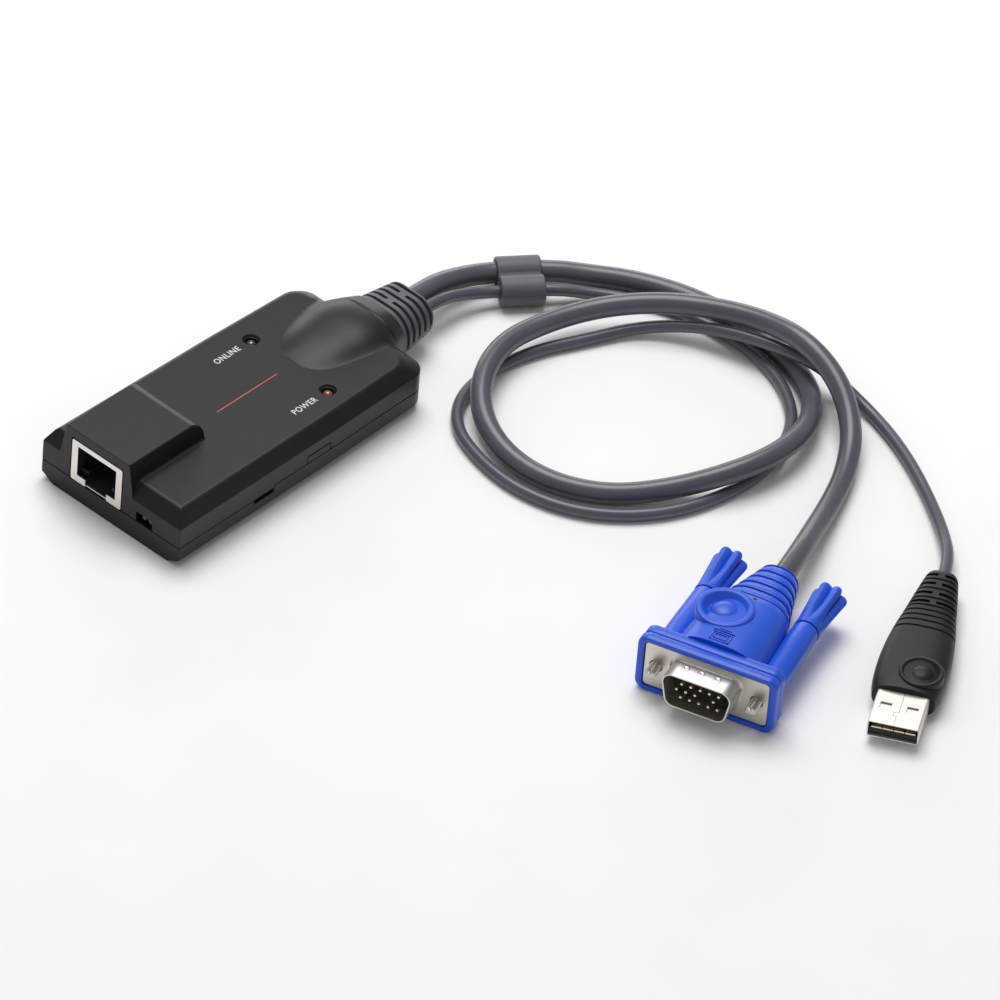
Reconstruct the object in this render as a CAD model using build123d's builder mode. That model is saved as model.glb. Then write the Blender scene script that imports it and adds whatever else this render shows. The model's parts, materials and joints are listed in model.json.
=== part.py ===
# Adapter module for a keyboard, video and mouse switch: a flat moulded housing with
# a network socket at one end and two captive cords at the other. The cords share one
# moulded boot, pass through a clip, lie in one loose loop and end in a video plug
# with lock screws and a serial bus plug.
#
# Millimetres. The origin is the middle of the housing's underside. +X runs from the
# network socket to the cords, +Z up from the table, -Y is the side nearest the viewer.

from build123d import *
import math
import os

# Housing
body_length = 84.0  # socket face to back wall
front_width = 43.7  # over the socket face
middle_width = 42.4  # where the sides turn in a little more
back_width = 40.6  # at the back wall
middle_place = 51.5  # from the socket face to that turn
side_bow = 500.0  # radius that eases the turn in the sides
back_corner = 4.5  # upright corners at the back
front_corner = 0.7  # upright corners at the socket face
seam_height = 5.7  # parting line of the two shells
rim_height = 11.2  # where the upright sides end and the bevel starts
top_height = 15.0
bevel_side = 2.2  # bevel of the top edge, seen from above
bevel_front = 2.4
bevel_back = 4.5
foot_side = 3.6  # bevel of the lower edge, seen from above; the socket face has none
foot_height = 2.0
wall = 1.8
shell_gap = 0.1  # seam between the shells
pry_length = 6.6  # pry slots in the side seams
pry_height = 1.2
pry_depth = 0.9
pry_place = 28.4  # from the socket face to the middle of a pry slot

# Collar that holds the boot
collar_reach = 4.2  # rim of the collar behind the back wall
boot_side = -0.8  # middle of the collar, the boot and the back wall
collar_place = 60.5  # from the socket face to the tip of the hump, just under the top
collar_tip_half = 6.4
collar_tip_top = 14.6
collar_tip_foot = 2.0
collar_tip_round = 6.0
collar_rise_place = 68.0
collar_rise_half = 9.8
collar_rise_top = 16.8
collar_rise_foot = 1.5
collar_rise_round = 6.8
collar_wide_place = 78.5
collar_wide_half = 12.6
collar_wide_top = 17.6
collar_wide_round = 8.0
collar_half = 9.0  # half width at the rim
collar_top = 15.6  # height at the rim
collar_foot = 0.8  # underside of the rim
collar_round = 6.6
step_place = 31.7  # from the socket face to where the side seam steps up
step_height = 0.6

# Network socket and the hump over it
socket_side = 4.8  # middle of the socket, off the middle of the housing
socket_width = 15.9
socket_height = 11.8
socket_depth = 18.5
socket_sheet = 0.35
socket_corner = 0.5
mouth_width = 12.1  # opening in the socket's front frame
mouth_height = 8.5
mouth_lift = 1.9  # from the socket's underside to the opening
latch_width = 6.7  # gap for the plug's latch
cavity_depth = 13.0
shoulder_width = 2.3  # blocks each side of the latch gap
shoulder_height = 1.5
socket_gap = 0.25  # between the socket and the housing
shoulder_back = 1.2  # from the mouth to the blocks
contact_start = 3.0  # from the mouth to the first bend of the contacts
contact_drop = 3.4  # how far the contacts slope down
contact_sheet = 0.3
hump_half = 10.0  # half width on its flat top
hump_spread = 1.6  # how much wider each side is at the rim height
hump_height = 20.4
hump_length = 24.4
hump_back_round = 0.85  # rounding of its back, as a share of its height over the top
edge_round = 0.4
snap_place = 46.8  # from the socket face to the middle of a snap window
snap_length = 8.0
snap_height = 2.2
snap_line = 0.25

# Circuit board and what it carries
board_top = 5.6
board_thick = 1.6
board_gap = 0.4  # between the board and the walls
board_length = 72.0
post_radius = 2.0
post_end = 4.0  # from the board's ends to the posts
post_side = 4.5  # from the back wall's ends to the posts
contact_count = 8
contact_pitch = 1.27
contact_width = 0.45
switch_side = -10.6  # middle of the two-way switch
switch_width = 5.0
switch_height = 3.1
switch_depth = 4.2
switch_lip = 0.8  # wider than its window
pocket_depth = 1.3  # behind the switch's face
window_height = 2.4
window_lift = 0.3
lever_height = 1.0
lever_width = 1.1
lever_pitch = 2.0
lever_travel = 1.0
lever_reach = 0.9
lever_gap = 0.12
lamp_place = 57.8  # from the socket face to the two lamps
lamp_sides = (11.0, -13.5)
lamp_radius = 1.5
lamp_dome = 1.47  # rounding of the tip
lamp_gap = 0.1
lamp_flange = 0.4  # how much wider the lamp's foot is
lamp_sunk = 0.5  # tip of the lamp below the top face
recess_radius = 2.1  # funnel round each lamp
recess_depth = 0.7
funnel_taper = 35
lamp_height = 5.2
lamp_flange_height = 1.0
lead_size = 0.5
lead_pitch = 2.54
chip_edge = 0.17  # chamfer of a chip, as a share of its height
# Name, place behind the socket face, place across, length, width, height
board_parts = (
    ("control_chip", 36.0, 6.0, 14.0, 14.0, 1.2),
    ("video_chip", 44.0, -6.0, 10.0, 10.0, 1.2),
    ("transformer", 29.5, -9.5, 9.5, 12.7, 4.4),
    ("crystal", 48.0, 9.0, 4.7, 11.4, 3.4),
)
# Name, place across, width
headers = (("video_header", 3.5, 15.0), ("serial_header", -8.5, 7.0))
header_place = 66.5  # from the socket face to the middle of the wire headers
header_length = 5.0
header_height = 5.6
header_wall = 0.8

# Boot on the two cords
boot_length = 12.3  # outside the collar
boot_half_start = 8.6
boot_top_start = 15.0
boot_foot_start = 1.0
boot_half_end = 7.2
boot_top_end = 13.4
boot_foot_end = 3.0
boot_round_start = 6.4
boot_round_end = 4.6
boot_rows = 5
boot_row_pitch = 2.2
boot_row_first = 1.6
boot_slot = 0.55
boot_slot_depth = 1.2
boot_bridge = 2.0
boot_bridge_share = 0.36  # height of the side bridges, as a share of the boot's
boot_edge = 0.6
neck_shrink = 2.2  # neck inside the collar, smaller on every side
neck_gap = 0.2
lip_thick = 1.8  # lip inside the housing that holds the boot in
lip_top = 12.6

# Cords
vga_cord_diameter = 5.2
usb_cord_diameter = 3.0
vga_exit = 2.0  # off the middle of the boot
usb_exit = -2.6
vga_lead = 6.0  # straight out of the boot
usb_lead = 5.5
hood_lead = 9.0  # straight into the plugs
grip_lead = 7.0
bend_share = 0.45  # tangent of each bend, as a share of its shorter run

# Clip round both cords
clip_length = 10.6
clip_lobe = 3.72
clip_run = 3  # number of the run in both routes that carries the clip
clip_gap = 0.28

# Video plug
vga_place = (8.1, -136.9, 7.8)
vga_yaw = -72.5
hood_width = 34.6
hood_height = 15.6
hood_corner = 2.5
hood_rim = 1.9
hood_lip = 0.5
hood_groove = 0.5
hood_groove_depth = 0.5
hood_tier = 2.8
hood_back = 41.0  # flange face to the end of the relief
screw_spread = 24.99
sleeve_end = 27.6
sleeve_radius = 3.4
sleeve_radius_back = 3.1
screw_radius = 1.42
screw_gap = 0.08
screw_reach = 3.8  # thread in front of the flange
tip_chamfer = 0.3
knob_radius = 3.2
knob_flare = 4.4
knob_length = 14.4
knob_gap = 0.2
knob_flutes = 6
flute_radius = 1.4
knob_collar = 2.0  # plain front of the knob
flange_width = 30.8
flange_height = 12.5
flange_sheet = 1.0
flange_hole = 1.6
flange_round = 1.1
flange_gap = 0.3  # seat larger than the flange, both sides together
d_width = 18.0
d_height = 9.3
d_lean = 10.0
d_round = 2.6
d_sheet = 0.4
d_reach = 5.9
pin_pitch = 2.29
pin_row = 1.98
pin_radius = 0.38
pin_sunk = 0.9
insert_sunk = 4.9  # face of the insulator below the shell's rim
insert_depth = 9.0  # insulator behind the flange
body_half_front = 10.8
body_half_waist = 9.4
body_waist_place = 23.5
body_crown = 8.6
body_top_waist = 7.6
body_round_front = 5.5
body_round_waist = 5.0
relief_half = 5.0
relief_round = 4.2
rib_count = 5
rib_first = 26.2
rib_pitch = 2.9
rib_width = 1.0
rib_depth = 0.7
rib_clear = 0.2  # between the ribs' grooves and the sleeves
disc_place = (-3.6, 17.0)
disc_radius = 6.7
disc_top = 8.9
disc_foot = 3.0  # inside the body
dish_radius = 5.2
dish_depth = 1.1
dome_radius = 3.4
dish_taper = 30

# Serial bus plug
usb_place = (30.2, -174.3, 4.0)
usb_yaw = -60.8
shell_width = 12.0
shell_height = 4.5
shell_length = 18.0
shell_sheet = 0.3
shell_round = 0.55
shell_reach = 12.45  # bare length in front of the grip
window_size = 2.6
window_depth = 2.0
window_place = 5.2
window_spread = 6.2
tongue_thick = 1.84
tongue_sunk = 0.7  # face of the tongue behind the mouth
tongue_length = 12.0
usb_contact_places = (-3.5, -1.0, 1.0, 3.5)
usb_contact_width = 1.0
usb_contact_sheet = 0.3
usb_contact_sunk = 1.0  # behind the tongue's face
grip_end = 55.6
grip_half_front = 7.5
grip_half_middle = 8.3
grip_half_neck = 7.55
grip_half_end = 3.7
grip_middle = 17.5
grip_neck = 32.5
grip_half_height = 4.0
grip_half_height_end = 3.2
grip_round = 3.0  # at the cord
grip_round_front = 3.5  # sides of the grip, nearly half round
arch_radius = 14.0
arch_depth = 0.95
grip_disc_place = (2.7, 17.7)
grip_disc_radius = 5.3
grip_disc_rise = 0.5
grip_dish_radius = 4.4
grip_dish_depth = 0.8
grip_dome_radius = 3.0
groove_count = 5
groove_pitch = 1.75
groove_slit = 0.55
groove_depth = 0.5
groove_round = 2.6
slot_rows = 4
slot_pitch = 3.5
slot_first = 41.4
slot_width = 1.0
slot_bridge = 2.4

# Places that follow from the sizes above
x_front = -(body_length + collar_reach) / 2
x_back = x_front + body_length
x_rim = x_back + collar_reach
x_middle = x_front + middle_place
middle_side = boot_side * middle_place / body_length
x_boot_end = x_rim + boot_length
board_low = board_top - board_thick
socket_top = board_top + socket_height
lamp_x = x_front + lamp_place
vga_base = Plane(
    origin=vga_place,
    x_dir=(math.cos(math.radians(vga_yaw)), math.sin(math.radians(vga_yaw)), 0),
    z_dir=(0, 0, 1),
)
usb_base = Plane(
    origin=usb_place,
    x_dir=(math.cos(math.radians(usb_yaw)), math.sin(math.radians(usb_yaw)), 0),
    z_dir=(0, 0, 1),
)
boot_middle_end = (boot_top_end + boot_foot_end) / 2

# Cord routes, set by eye along the photographed lines. The first and last points
# are the faces of the boot and of the plugs.
vga_route = [
    (x_boot_end, boot_side + vga_exit, boot_middle_end),
    (x_boot_end + vga_lead, boot_side + vga_exit, boot_middle_end),
    (70, 1.5, 6.9),
    (82, -0.5, 3.75),
    (94.5, -10.5, 3.75),
    (101, -17.5, 2.7),
    (106.5, -25, 2.7),
    (111.5, -36, 2.7),
    (114, -49, 2.7),
    (113.5, -62.5, 3.1),
    (111, -75, 2.4),
    (103.5, -86, 4),
    (92, -92.5, 5.8),
    (79, -93.5, 6.6),
    (66, -89.5, 5.9),
    (56, -82, 3),
    (45, -74, 2.7),
    (38.5, -62, 2.6),
    (37.5, -49, 3.1),
    (42, -36.5, 4.6),
    (51.5, -27.5, 6.2),
    (64, -23, 6.6),
    (77.5, -24.5, 6.1),
    (90, -29.5, 6.6),
    (100, -38.5, 8),
    (107, -49.5, 9.2),
    (111, -62, 10.8),
    (111, -75, 12.7),
    (109, -88, 9.5),
    (102.5, -98.5, 5),
    (92, -106, 2.8),
    (80, -111.5, 3),
    (68, -116.5, 5),
    tuple(vga_base.from_local_coords((0, hood_back + hood_lead, 0))),
    tuple(vga_base.from_local_coords((0, hood_back, 0))),
]
usb_route = [
    (x_boot_end, boot_side + usb_exit, boot_middle_end),
    (x_boot_end + usb_lead, boot_side + usb_exit, boot_middle_end),
    (69.5, -3.5, 6),
    (77.5, -6, 3.75),
    (90, -16, 3.75),
    (96.5, -21.5, 2.2),
    (102.5, -29, 1.6),
    (107.5, -39, 1.6),
    (109.5, -51, 1.6),
    (109, -63, 1.6),
    (105.5, -74.5, 1.6),
    (98, -84.5, 1.6),
    (87.5, -90, 1.6),
    (75.5, -92.5, 1.6),
    (63.5, -91, 1.6),
    (52, -87, 1.6),
    (42, -79.5, 1.6),
    (35, -69.5, 1.6),
    (32, -57.5, 1.6),
    (33, -45.5, 1.6),
    (38, -34, 1.6),
    (48, -27, 1.6),
    (60.5, -26, 1.6),
    (72, -28, 1.6),
    (84, -32, 1.6),
    (95, -37, 2),
    (102.5, -46.5, 4.3),
    (106.5, -57.5, 6.6),
    (109.5, -69.5, 7.7),
    (112, -81, 7),
    (114, -92, 1.6),
    (110.5, -104, 1.5),
    (105.5, -115, 1.6),
    (99.5, -125.5, 1.5),
    (92.5, -135.5, 2.4),
    tuple(usb_base.from_local_coords((0, grip_end + grip_lead, 0))),
    tuple(usb_base.from_local_coords((0, grip_end, 0))),
]

os.makedirs("parts", exist_ok=True)


def keep(piece, name):
    """Label a finished piece and write its file."""
    piece.part.label = name
    export_step(piece.part, f"parts/{name}.step")


def plan(front, side, back, corner):
    """Draw the housing's outline from above, drawn in by the given amounts."""
    with BuildLine() as outline:
        Polyline(
            (x_front + front, -(front_width / 2 - side)),
            (x_middle, middle_side - (middle_width / 2 - side)),
            (x_back - back, boot_side - (back_width / 2 - side)),
            (x_back - back, boot_side + (back_width / 2 - side)),
            (x_middle, middle_side + (middle_width / 2 - side)),
            (x_front + front, front_width / 2 - side),
            close=True,
        )
    shape = make_face(outline.edges())
    ends = shape.vertices().group_by(Axis.X)
    fillet(ends[-1], radius=corner)
    fillet(ends[1], radius=side_bow)
    fillet(ends[0], radius=front_corner)


def side_turn(side):
    """How far a side turns in behind the socket face, in radians."""
    return math.atan((front_width / 2 - middle_width / 2 - side * middle_side) / middle_place)


def side_place(side, place):
    """Where a side stands across the housing, at a place behind the socket face."""
    return side * (front_width / 2 - math.tan(side_turn(side)) * place)


def arch(half, top, foot, corner, shrink=0.0):
    """Draw an upright section of the collar or boot, drawn in on every side."""
    with Locations((boot_side, (top + foot) / 2)):
        RectangleRounded(2 * (half - shrink), top - foot - 2 * shrink, corner - shrink)


def cross(base, d):
    """Plane across a plug, d behind its front face, looking at its nose."""
    return Plane(origin=base.from_local_coords((0, d, 0)), x_dir=base.x_dir, z_dir=-base.y_dir)


def above(base, height):
    """Level plane of a plug, at a height over its axis."""
    return Plane(origin=base.from_local_coords((0, 0, height)), x_dir=base.x_dir, z_dir=(0, 0, 1))


def d_outline(inset):
    """Draw the outline of the video shell, wide side up, drawn in by an amount."""
    top = d_width / 2 - inset
    low = top - math.tan(math.radians(d_lean)) * d_height
    half = d_height / 2 - inset
    with BuildLine() as outline:
        Polyline((-top, half), (top, half), (low, -half), (-low, -half), close=True)
    shape = make_face(outline.edges())
    fillet(shape.vertices(), radius=d_round - inset)


def cord_tube(points, diameter):
    """Tube along a route, each bend as large as its two runs allow."""
    places = [Vector(*point) for point in points]
    runs = [after - before for before, after in zip(places, places[1:])]
    radii = []
    for before, after in zip(runs, runs[1:]):
        half_turn = math.radians(before.get_angle(after)) / 2
        radii.append(bend_share * min(before.length, after.length) / math.tan(half_turn))
    with BuildPart() as tube:
        with BuildLine() as path:
            FilletPolyline(*places, radius=radii)
        with BuildSketch(Plane(origin=places[0], z_dir=runs[0])):
            Circle(diameter / 2)
        sweep()
    length = path.wires()[0].length
    share = tube.part.volume / (math.pi * diameter**2 / 4 * length)
    print(f"length {length:.1f}, tightest bend {min(radii):.1f}, volume over section {share:.4f}")
    print("radii", [round(radius) for radius in radii])
    return tube


# Collar: the hump that grows out of the top and closes round the boot. Both shells
# carry their share of it, so it is made once and added to each.
with BuildPart() as collar:
    with BuildSketch(Plane.YZ.offset(x_front + collar_place)):
        arch(collar_tip_half, collar_tip_top, collar_tip_foot, collar_tip_round)
    with BuildSketch(Plane.YZ.offset(x_front + collar_rise_place)):
        arch(collar_rise_half, collar_rise_top, collar_rise_foot, collar_rise_round)
    with BuildSketch(Plane.YZ.offset(x_front + collar_wide_place)):
        arch(collar_wide_half, collar_wide_top, collar_foot, collar_wide_round)
    with BuildSketch(Plane.YZ.offset(x_rim)):
        arch(collar_half, collar_top, collar_foot, collar_round)
    loft()

# Neck of the boot and the way it leaves through both shells
with BuildPart() as neck_way:
    with BuildSketch(Plane.YZ.offset(x_rim)):
        arch(boot_half_start, boot_top_start, boot_foot_start, boot_round_start, neck_shrink - neck_gap)
    extrude(amount=-(collar_reach + wall + neck_gap))
    with BuildSketch(Plane.YZ.offset(x_back - wall)):
        arch(boot_half_start, lip_top, foot_height + neck_gap, boot_round_start - neck_shrink, -neck_gap)
    extrude(amount=-(lip_thick + 2 * neck_gap))

# Upper shell
with BuildPart() as upper_shell:
    with BuildSketch(Plane.XY.offset(seam_height)):
        plan(0, 0, 0, back_corner)
    extrude(amount=rim_height - seam_height)
    with BuildSketch(Plane.XY.offset(rim_height)):
        plan(0, 0, 0, back_corner)
    with BuildSketch(Plane.XY.offset(top_height)):
        plan(bevel_front, bevel_side, bevel_back, back_corner)
    loft(ruled=True)
    # Hump over the network socket, flush with the socket face
    with BuildSketch(Plane.YZ.offset(x_front)):
        with BuildLine():
            Polyline(
                (socket_side - hump_half, hump_height),
                (socket_side + hump_half, hump_height),
                (socket_side + hump_half + hump_spread, rim_height),
                (socket_side - hump_half - hump_spread, rim_height),
                close=True,
            )
        make_face()
    extrude(amount=hump_length)
    hump_back = upper_shell.edges().filter_by(Axis.Y).group_by(Axis.Z)[-1].sort_by(Axis.X)[-1]
    fillet(hump_back, radius=hump_back_round * (hump_height - top_height))
    hump_rim = upper_shell.faces().sort_by(Axis.Z)[-1].edges()
    fillet(hump_rim.filter_by(Axis.X), radius=edge_round)
    add(collar.part)
    split(bisect_by=Plane.XY.offset(seam_height), keep=Keep.TOP)
    # Inside of the shell, following the outside
    with BuildSketch(Plane.XY.offset(seam_height)):
        plan(wall, wall, wall, back_corner - wall)
    extrude(amount=rim_height - seam_height - wall / 3, mode=Mode.SUBTRACT)
    with BuildSketch(Plane.XY.offset(rim_height - wall / 3)):
        plan(wall, wall, wall, back_corner - wall)
    with BuildSketch(Plane.XY.offset(top_height - wall)):
        plan(wall + bevel_front, wall + bevel_side, wall + bevel_back, back_corner - wall)
    loft(ruled=True, mode=Mode.SUBTRACT)
    # Room for the socket
    with BuildSketch(Plane.YZ.offset(x_front)):
        with Locations((socket_side, (seam_height + socket_top + socket_gap) / 2)):
            Rectangle(socket_width + 2 * socket_gap, socket_top + socket_gap - seam_height)
    extrude(amount=socket_depth + socket_gap, mode=Mode.SUBTRACT)
    # Window of the two-way switch
    with BuildSketch(Plane.YZ.offset(x_front)):
        with Locations((switch_side, seam_height + window_height / 2 + window_lift / 2)):
            Rectangle(switch_width, window_height + window_lift)
    extrude(amount=2 * wall, mode=Mode.SUBTRACT)
    # Funnels and holes of the two lamps
    with BuildSketch(Plane.XY.offset(top_height)):
        with Locations(*[(lamp_x, side) for side in lamp_sides]):
            Circle(lamp_radius + lamp_gap)
    extrude(amount=-2 * wall, mode=Mode.SUBTRACT)
    with BuildSketch(Plane.XY.offset(top_height)):
        with Locations(*[(lamp_x, side) for side in lamp_sides]):
            Circle(recess_radius)
    extrude(amount=-recess_depth, taper=funnel_taper, mode=Mode.SUBTRACT)
    add(neck_way.part, mode=Mode.SUBTRACT)
    # Side seam steps up from the pry slot on
    with BuildSketch(Plane.XY.offset(seam_height)):
        with Locations((x_front + step_place, 0)):
            Rectangle(body_length, 2 * front_width, align=(Align.MIN, Align.CENTER))
    extrude(amount=step_height, mode=Mode.SUBTRACT)
    # Outlines of the snap windows on both sides
    for side in (-1, 1):
        turn_in = side_turn(side)
        panel = Plane(
            origin=(x_front + snap_place, side_place(side, snap_place), 0),
            x_dir=(math.cos(turn_in), -side * math.sin(turn_in), 0),
            z_dir=(-side * math.sin(turn_in), -side * math.cos(turn_in), 0),
        )
        with BuildSketch(panel):
            with Locations((0, panel.y_dir.Z * (seam_height + step_height + snap_height / 2))):
                Rectangle(snap_length, snap_height)
                with Locations((0, -panel.y_dir.Z * snap_line)):
                    Rectangle(snap_length - 2 * snap_line, snap_height, mode=Mode.SUBTRACT)
        extrude(amount=snap_line, both=True, mode=Mode.SUBTRACT)
keep(upper_shell, "upper_shell")

# Lower shell
with BuildPart() as lower_shell:
    with BuildSketch(Plane.XY):
        plan(0, foot_side, foot_side, back_corner)
    with BuildSketch(Plane.XY.offset(foot_height)):
        plan(0, 0, 0, back_corner)
    loft(ruled=True)
    with BuildSketch(Plane.XY.offset(foot_height)):
        plan(0, 0, 0, back_corner)
    extrude(amount=seam_height + step_height - shell_gap - foot_height)
    add(collar.part)
    split(bisect_by=Plane.XY.offset(seam_height + step_height - shell_gap), keep=Keep.BOTTOM)
    # Rim in front of the step
    with BuildSketch(Plane.XY.offset(seam_height - shell_gap)):
        with Locations((x_front + step_place + shell_gap, 0)):
            Rectangle(body_length, 2 * front_width, align=(Align.MAX, Align.CENTER))
    extrude(amount=2 * step_height, mode=Mode.SUBTRACT)
    with BuildSketch(Plane.XY.offset(foot_height)):
        plan(wall, wall, wall, back_corner - wall)
    extrude(amount=seam_height, mode=Mode.SUBTRACT)
    # Posts under the corners of the board
    with BuildSketch(Plane.XY.offset(foot_height)):
        with Locations((x_front + wall + board_gap + board_length / 2, 0)):
            with GridLocations(board_length - 2 * post_end, back_width - 2 * post_side, 2, 2):
                Circle(post_radius)
    extrude(amount=board_low - foot_height)
    # Room under the socket's front edge
    with BuildSketch(Plane.YZ.offset(x_front)):
        with Locations((socket_side, board_top)):
            Rectangle(socket_width + 2 * socket_gap, 2 * socket_gap)
    extrude(amount=2 * wall, mode=Mode.SUBTRACT)
    add(neck_way.part, mode=Mode.SUBTRACT)
    # Pry slots in both side seams
    with BuildSketch(Plane.XY.offset(seam_height - shell_gap)):
        for side in (-1, 1):
            with Locations((x_front + pry_place, side_place(side, pry_place))):
                Rectangle(pry_length, 2 * pry_depth)
    extrude(amount=-pry_height, mode=Mode.SUBTRACT)
keep(lower_shell, "lower_shell")

# Circuit board
with BuildPart() as circuit_board:
    with BuildSketch(Plane.XY.offset(board_low)):
        plan(wall + board_gap, wall + board_gap, body_length - board_length - wall - board_gap, front_corner)
    extrude(amount=board_thick)
keep(circuit_board, "circuit_board")

# Network socket: folded metal shell
with BuildPart() as rj45_shield:
    with BuildSketch(Plane.YZ.offset(x_front)):
        with Locations((socket_side, board_top + socket_height / 2)):
            RectangleRounded(socket_width, socket_height, socket_corner)
    extrude(amount=socket_depth)
    with BuildSketch(Plane.YZ.offset(x_front + socket_sheet)):
        with Locations((socket_side, board_top + socket_height / 2)):
            Rectangle(socket_width - 2 * socket_sheet, socket_height - 2 * socket_sheet)
    extrude(amount=socket_depth - 2 * socket_sheet, mode=Mode.SUBTRACT)
    with BuildSketch(Plane.YZ.offset(x_front)):
        with Locations((socket_side, board_top + mouth_lift + mouth_height / 2)):
            Rectangle(mouth_width, mouth_height)
        with Locations((socket_side, board_top + mouth_lift / 2)):
            Rectangle(latch_width, mouth_lift)
    extrude(amount=socket_sheet, mode=Mode.SUBTRACT)
keep(rj45_shield, "rj45_shield")

# Network socket: plastic insert with its cavity, shoulders and latch way
insert_front = x_front + socket_sheet
with BuildPart() as rj45_insert:
    with BuildSketch(Plane.YZ.offset(insert_front)):
        with Locations((socket_side, board_top + socket_height / 2)):
            Rectangle(socket_width - 2 * socket_sheet, socket_height - 2 * socket_sheet)
    extrude(amount=socket_depth - 2 * socket_sheet)
    with BuildSketch(Plane.YZ.offset(insert_front)):
        with Locations((socket_side, board_top + mouth_lift + mouth_height / 2)):
            Rectangle(mouth_width, mouth_height)
        with Locations((socket_side, board_top + mouth_lift)):
            Rectangle(latch_width, 2 * (mouth_lift - socket_sheet))
    extrude(amount=cavity_depth, mode=Mode.SUBTRACT)
    with BuildSketch(Plane.YZ.offset(insert_front + shoulder_back)):
        with Locations((socket_side, board_top + mouth_lift + shoulder_height / 2)):
            with GridLocations(mouth_width - shoulder_width, 1, 2, 1):
                Rectangle(shoulder_width, shoulder_height)
    extrude(amount=cavity_depth - shoulder_back)
keep(rj45_insert, "rj45_insert")

# Network socket: row of spring contacts that slope down from the roof to the back
contact_roof = board_top + mouth_lift + mouth_height
contact_back = insert_front + cavity_depth
with BuildPart() as rj45_contacts:
    for index in range(contact_count):
        y = socket_side + (index - (contact_count - 1) / 2) * contact_pitch
        with BuildSketch(Plane.XZ.offset(-y)):
            with BuildLine():
                Polyline(
                    (insert_front + contact_start, contact_roof),
                    (insert_front + contact_start + 2 * contact_sheet, contact_roof),
                    (contact_back, contact_roof - contact_drop),
                    (contact_back, contact_roof - contact_drop - contact_sheet),
                    close=True,
                )
            make_face()
        extrude(amount=contact_width / 2, both=True)
keep(rj45_contacts, "rj45_contacts")

# Two-way switch on the board, with its two sliding levers
switch_front = x_front + wall + board_gap
with BuildPart() as dip_switch:
    with BuildSketch(Plane.YZ.offset(switch_front)):
        with Locations((switch_side, board_top + switch_height / 2)):
            Rectangle(switch_width + switch_lip, switch_height)
    extrude(amount=switch_depth)
    with BuildSketch(Plane.YZ.offset(switch_front)):
        with Locations((switch_side, board_top + switch_height / 2)):
            with GridLocations(lever_pitch, 1, 2, 1):
                Rectangle(lever_width + 2 * lever_gap, lever_height + lever_travel + 2 * lever_gap)
    extrude(amount=pocket_depth, mode=Mode.SUBTRACT)
keep(dip_switch, "dip_switch")

for number, side in enumerate((lever_pitch / 2, -lever_pitch / 2), start=1):
    with BuildPart() as dip_lever:
        with BuildSketch(Plane.YZ.offset(switch_front + pocket_depth)):
            with Locations((switch_side + side, board_top + switch_height / 2 - lever_travel / 2)):
                Rectangle(lever_width, lever_height)
        extrude(amount=-(pocket_depth + lever_reach))
    keep(dip_lever, f"dip_lever_{number}")

# Lamps on their leads, tips just under the top face
lamp_tip = top_height - lamp_sunk
lamp_low = lamp_tip - lamp_height
for name, side in zip(("link_lamp", "power_lamp"), lamp_sides):
    with BuildPart() as lamp:
        with BuildSketch(Plane.XY.offset(lamp_low)):
            with Locations((lamp_x, side)):
                Circle(lamp_radius + lamp_flange)
        extrude(amount=lamp_flange_height)
        with BuildSketch(Plane.XY.offset(lamp_low)):
            with Locations((lamp_x, side)):
                Circle(lamp_radius)
        extrude(amount=lamp_height)
        fillet(lamp.faces().sort_by(Axis.Z)[-1].edges(), radius=lamp_dome)
    keep(lamp, name)

with BuildPart() as lamp_leads:
    with BuildSketch(Plane.XY.offset(board_top)):
        for side in lamp_sides:
            with Locations((lamp_x, side)):
                with GridLocations(1, lead_pitch, 1, 2):
                    Rectangle(lead_size, lead_size)
    extrude(amount=lamp_low - board_top)
keep(lamp_leads, "lamp_leads")

# Parts soldered on the board: two chips, the network transformer and the crystal
for name, place, y, length, width, height in board_parts:
    with BuildPart() as block:
        with BuildSketch(Plane.XY.offset(board_top)):
            with Locations((x_front + place, y)):
                Rectangle(length, width)
        extrude(amount=height)
        chamfer(block.faces().sort_by(Axis.Z)[-1].edges(), length=chip_edge * height)
    keep(block, name)

# Headers on the board for the wires of the two cords
for name, y, width in headers:
    with BuildPart() as header:
        with BuildSketch(Plane.XY.offset(board_top)):
            with Locations((x_front + header_place, y)):
                Rectangle(header_length, width)
        extrude(amount=header_height)
        with BuildSketch(Plane.XY.offset(board_top + header_wall)):
            with Locations((x_front + header_place, y)):
                Rectangle(header_length - 2 * header_wall, width - 2 * header_wall)
        extrude(amount=header_height, mode=Mode.SUBTRACT)
    keep(header, name)

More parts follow.
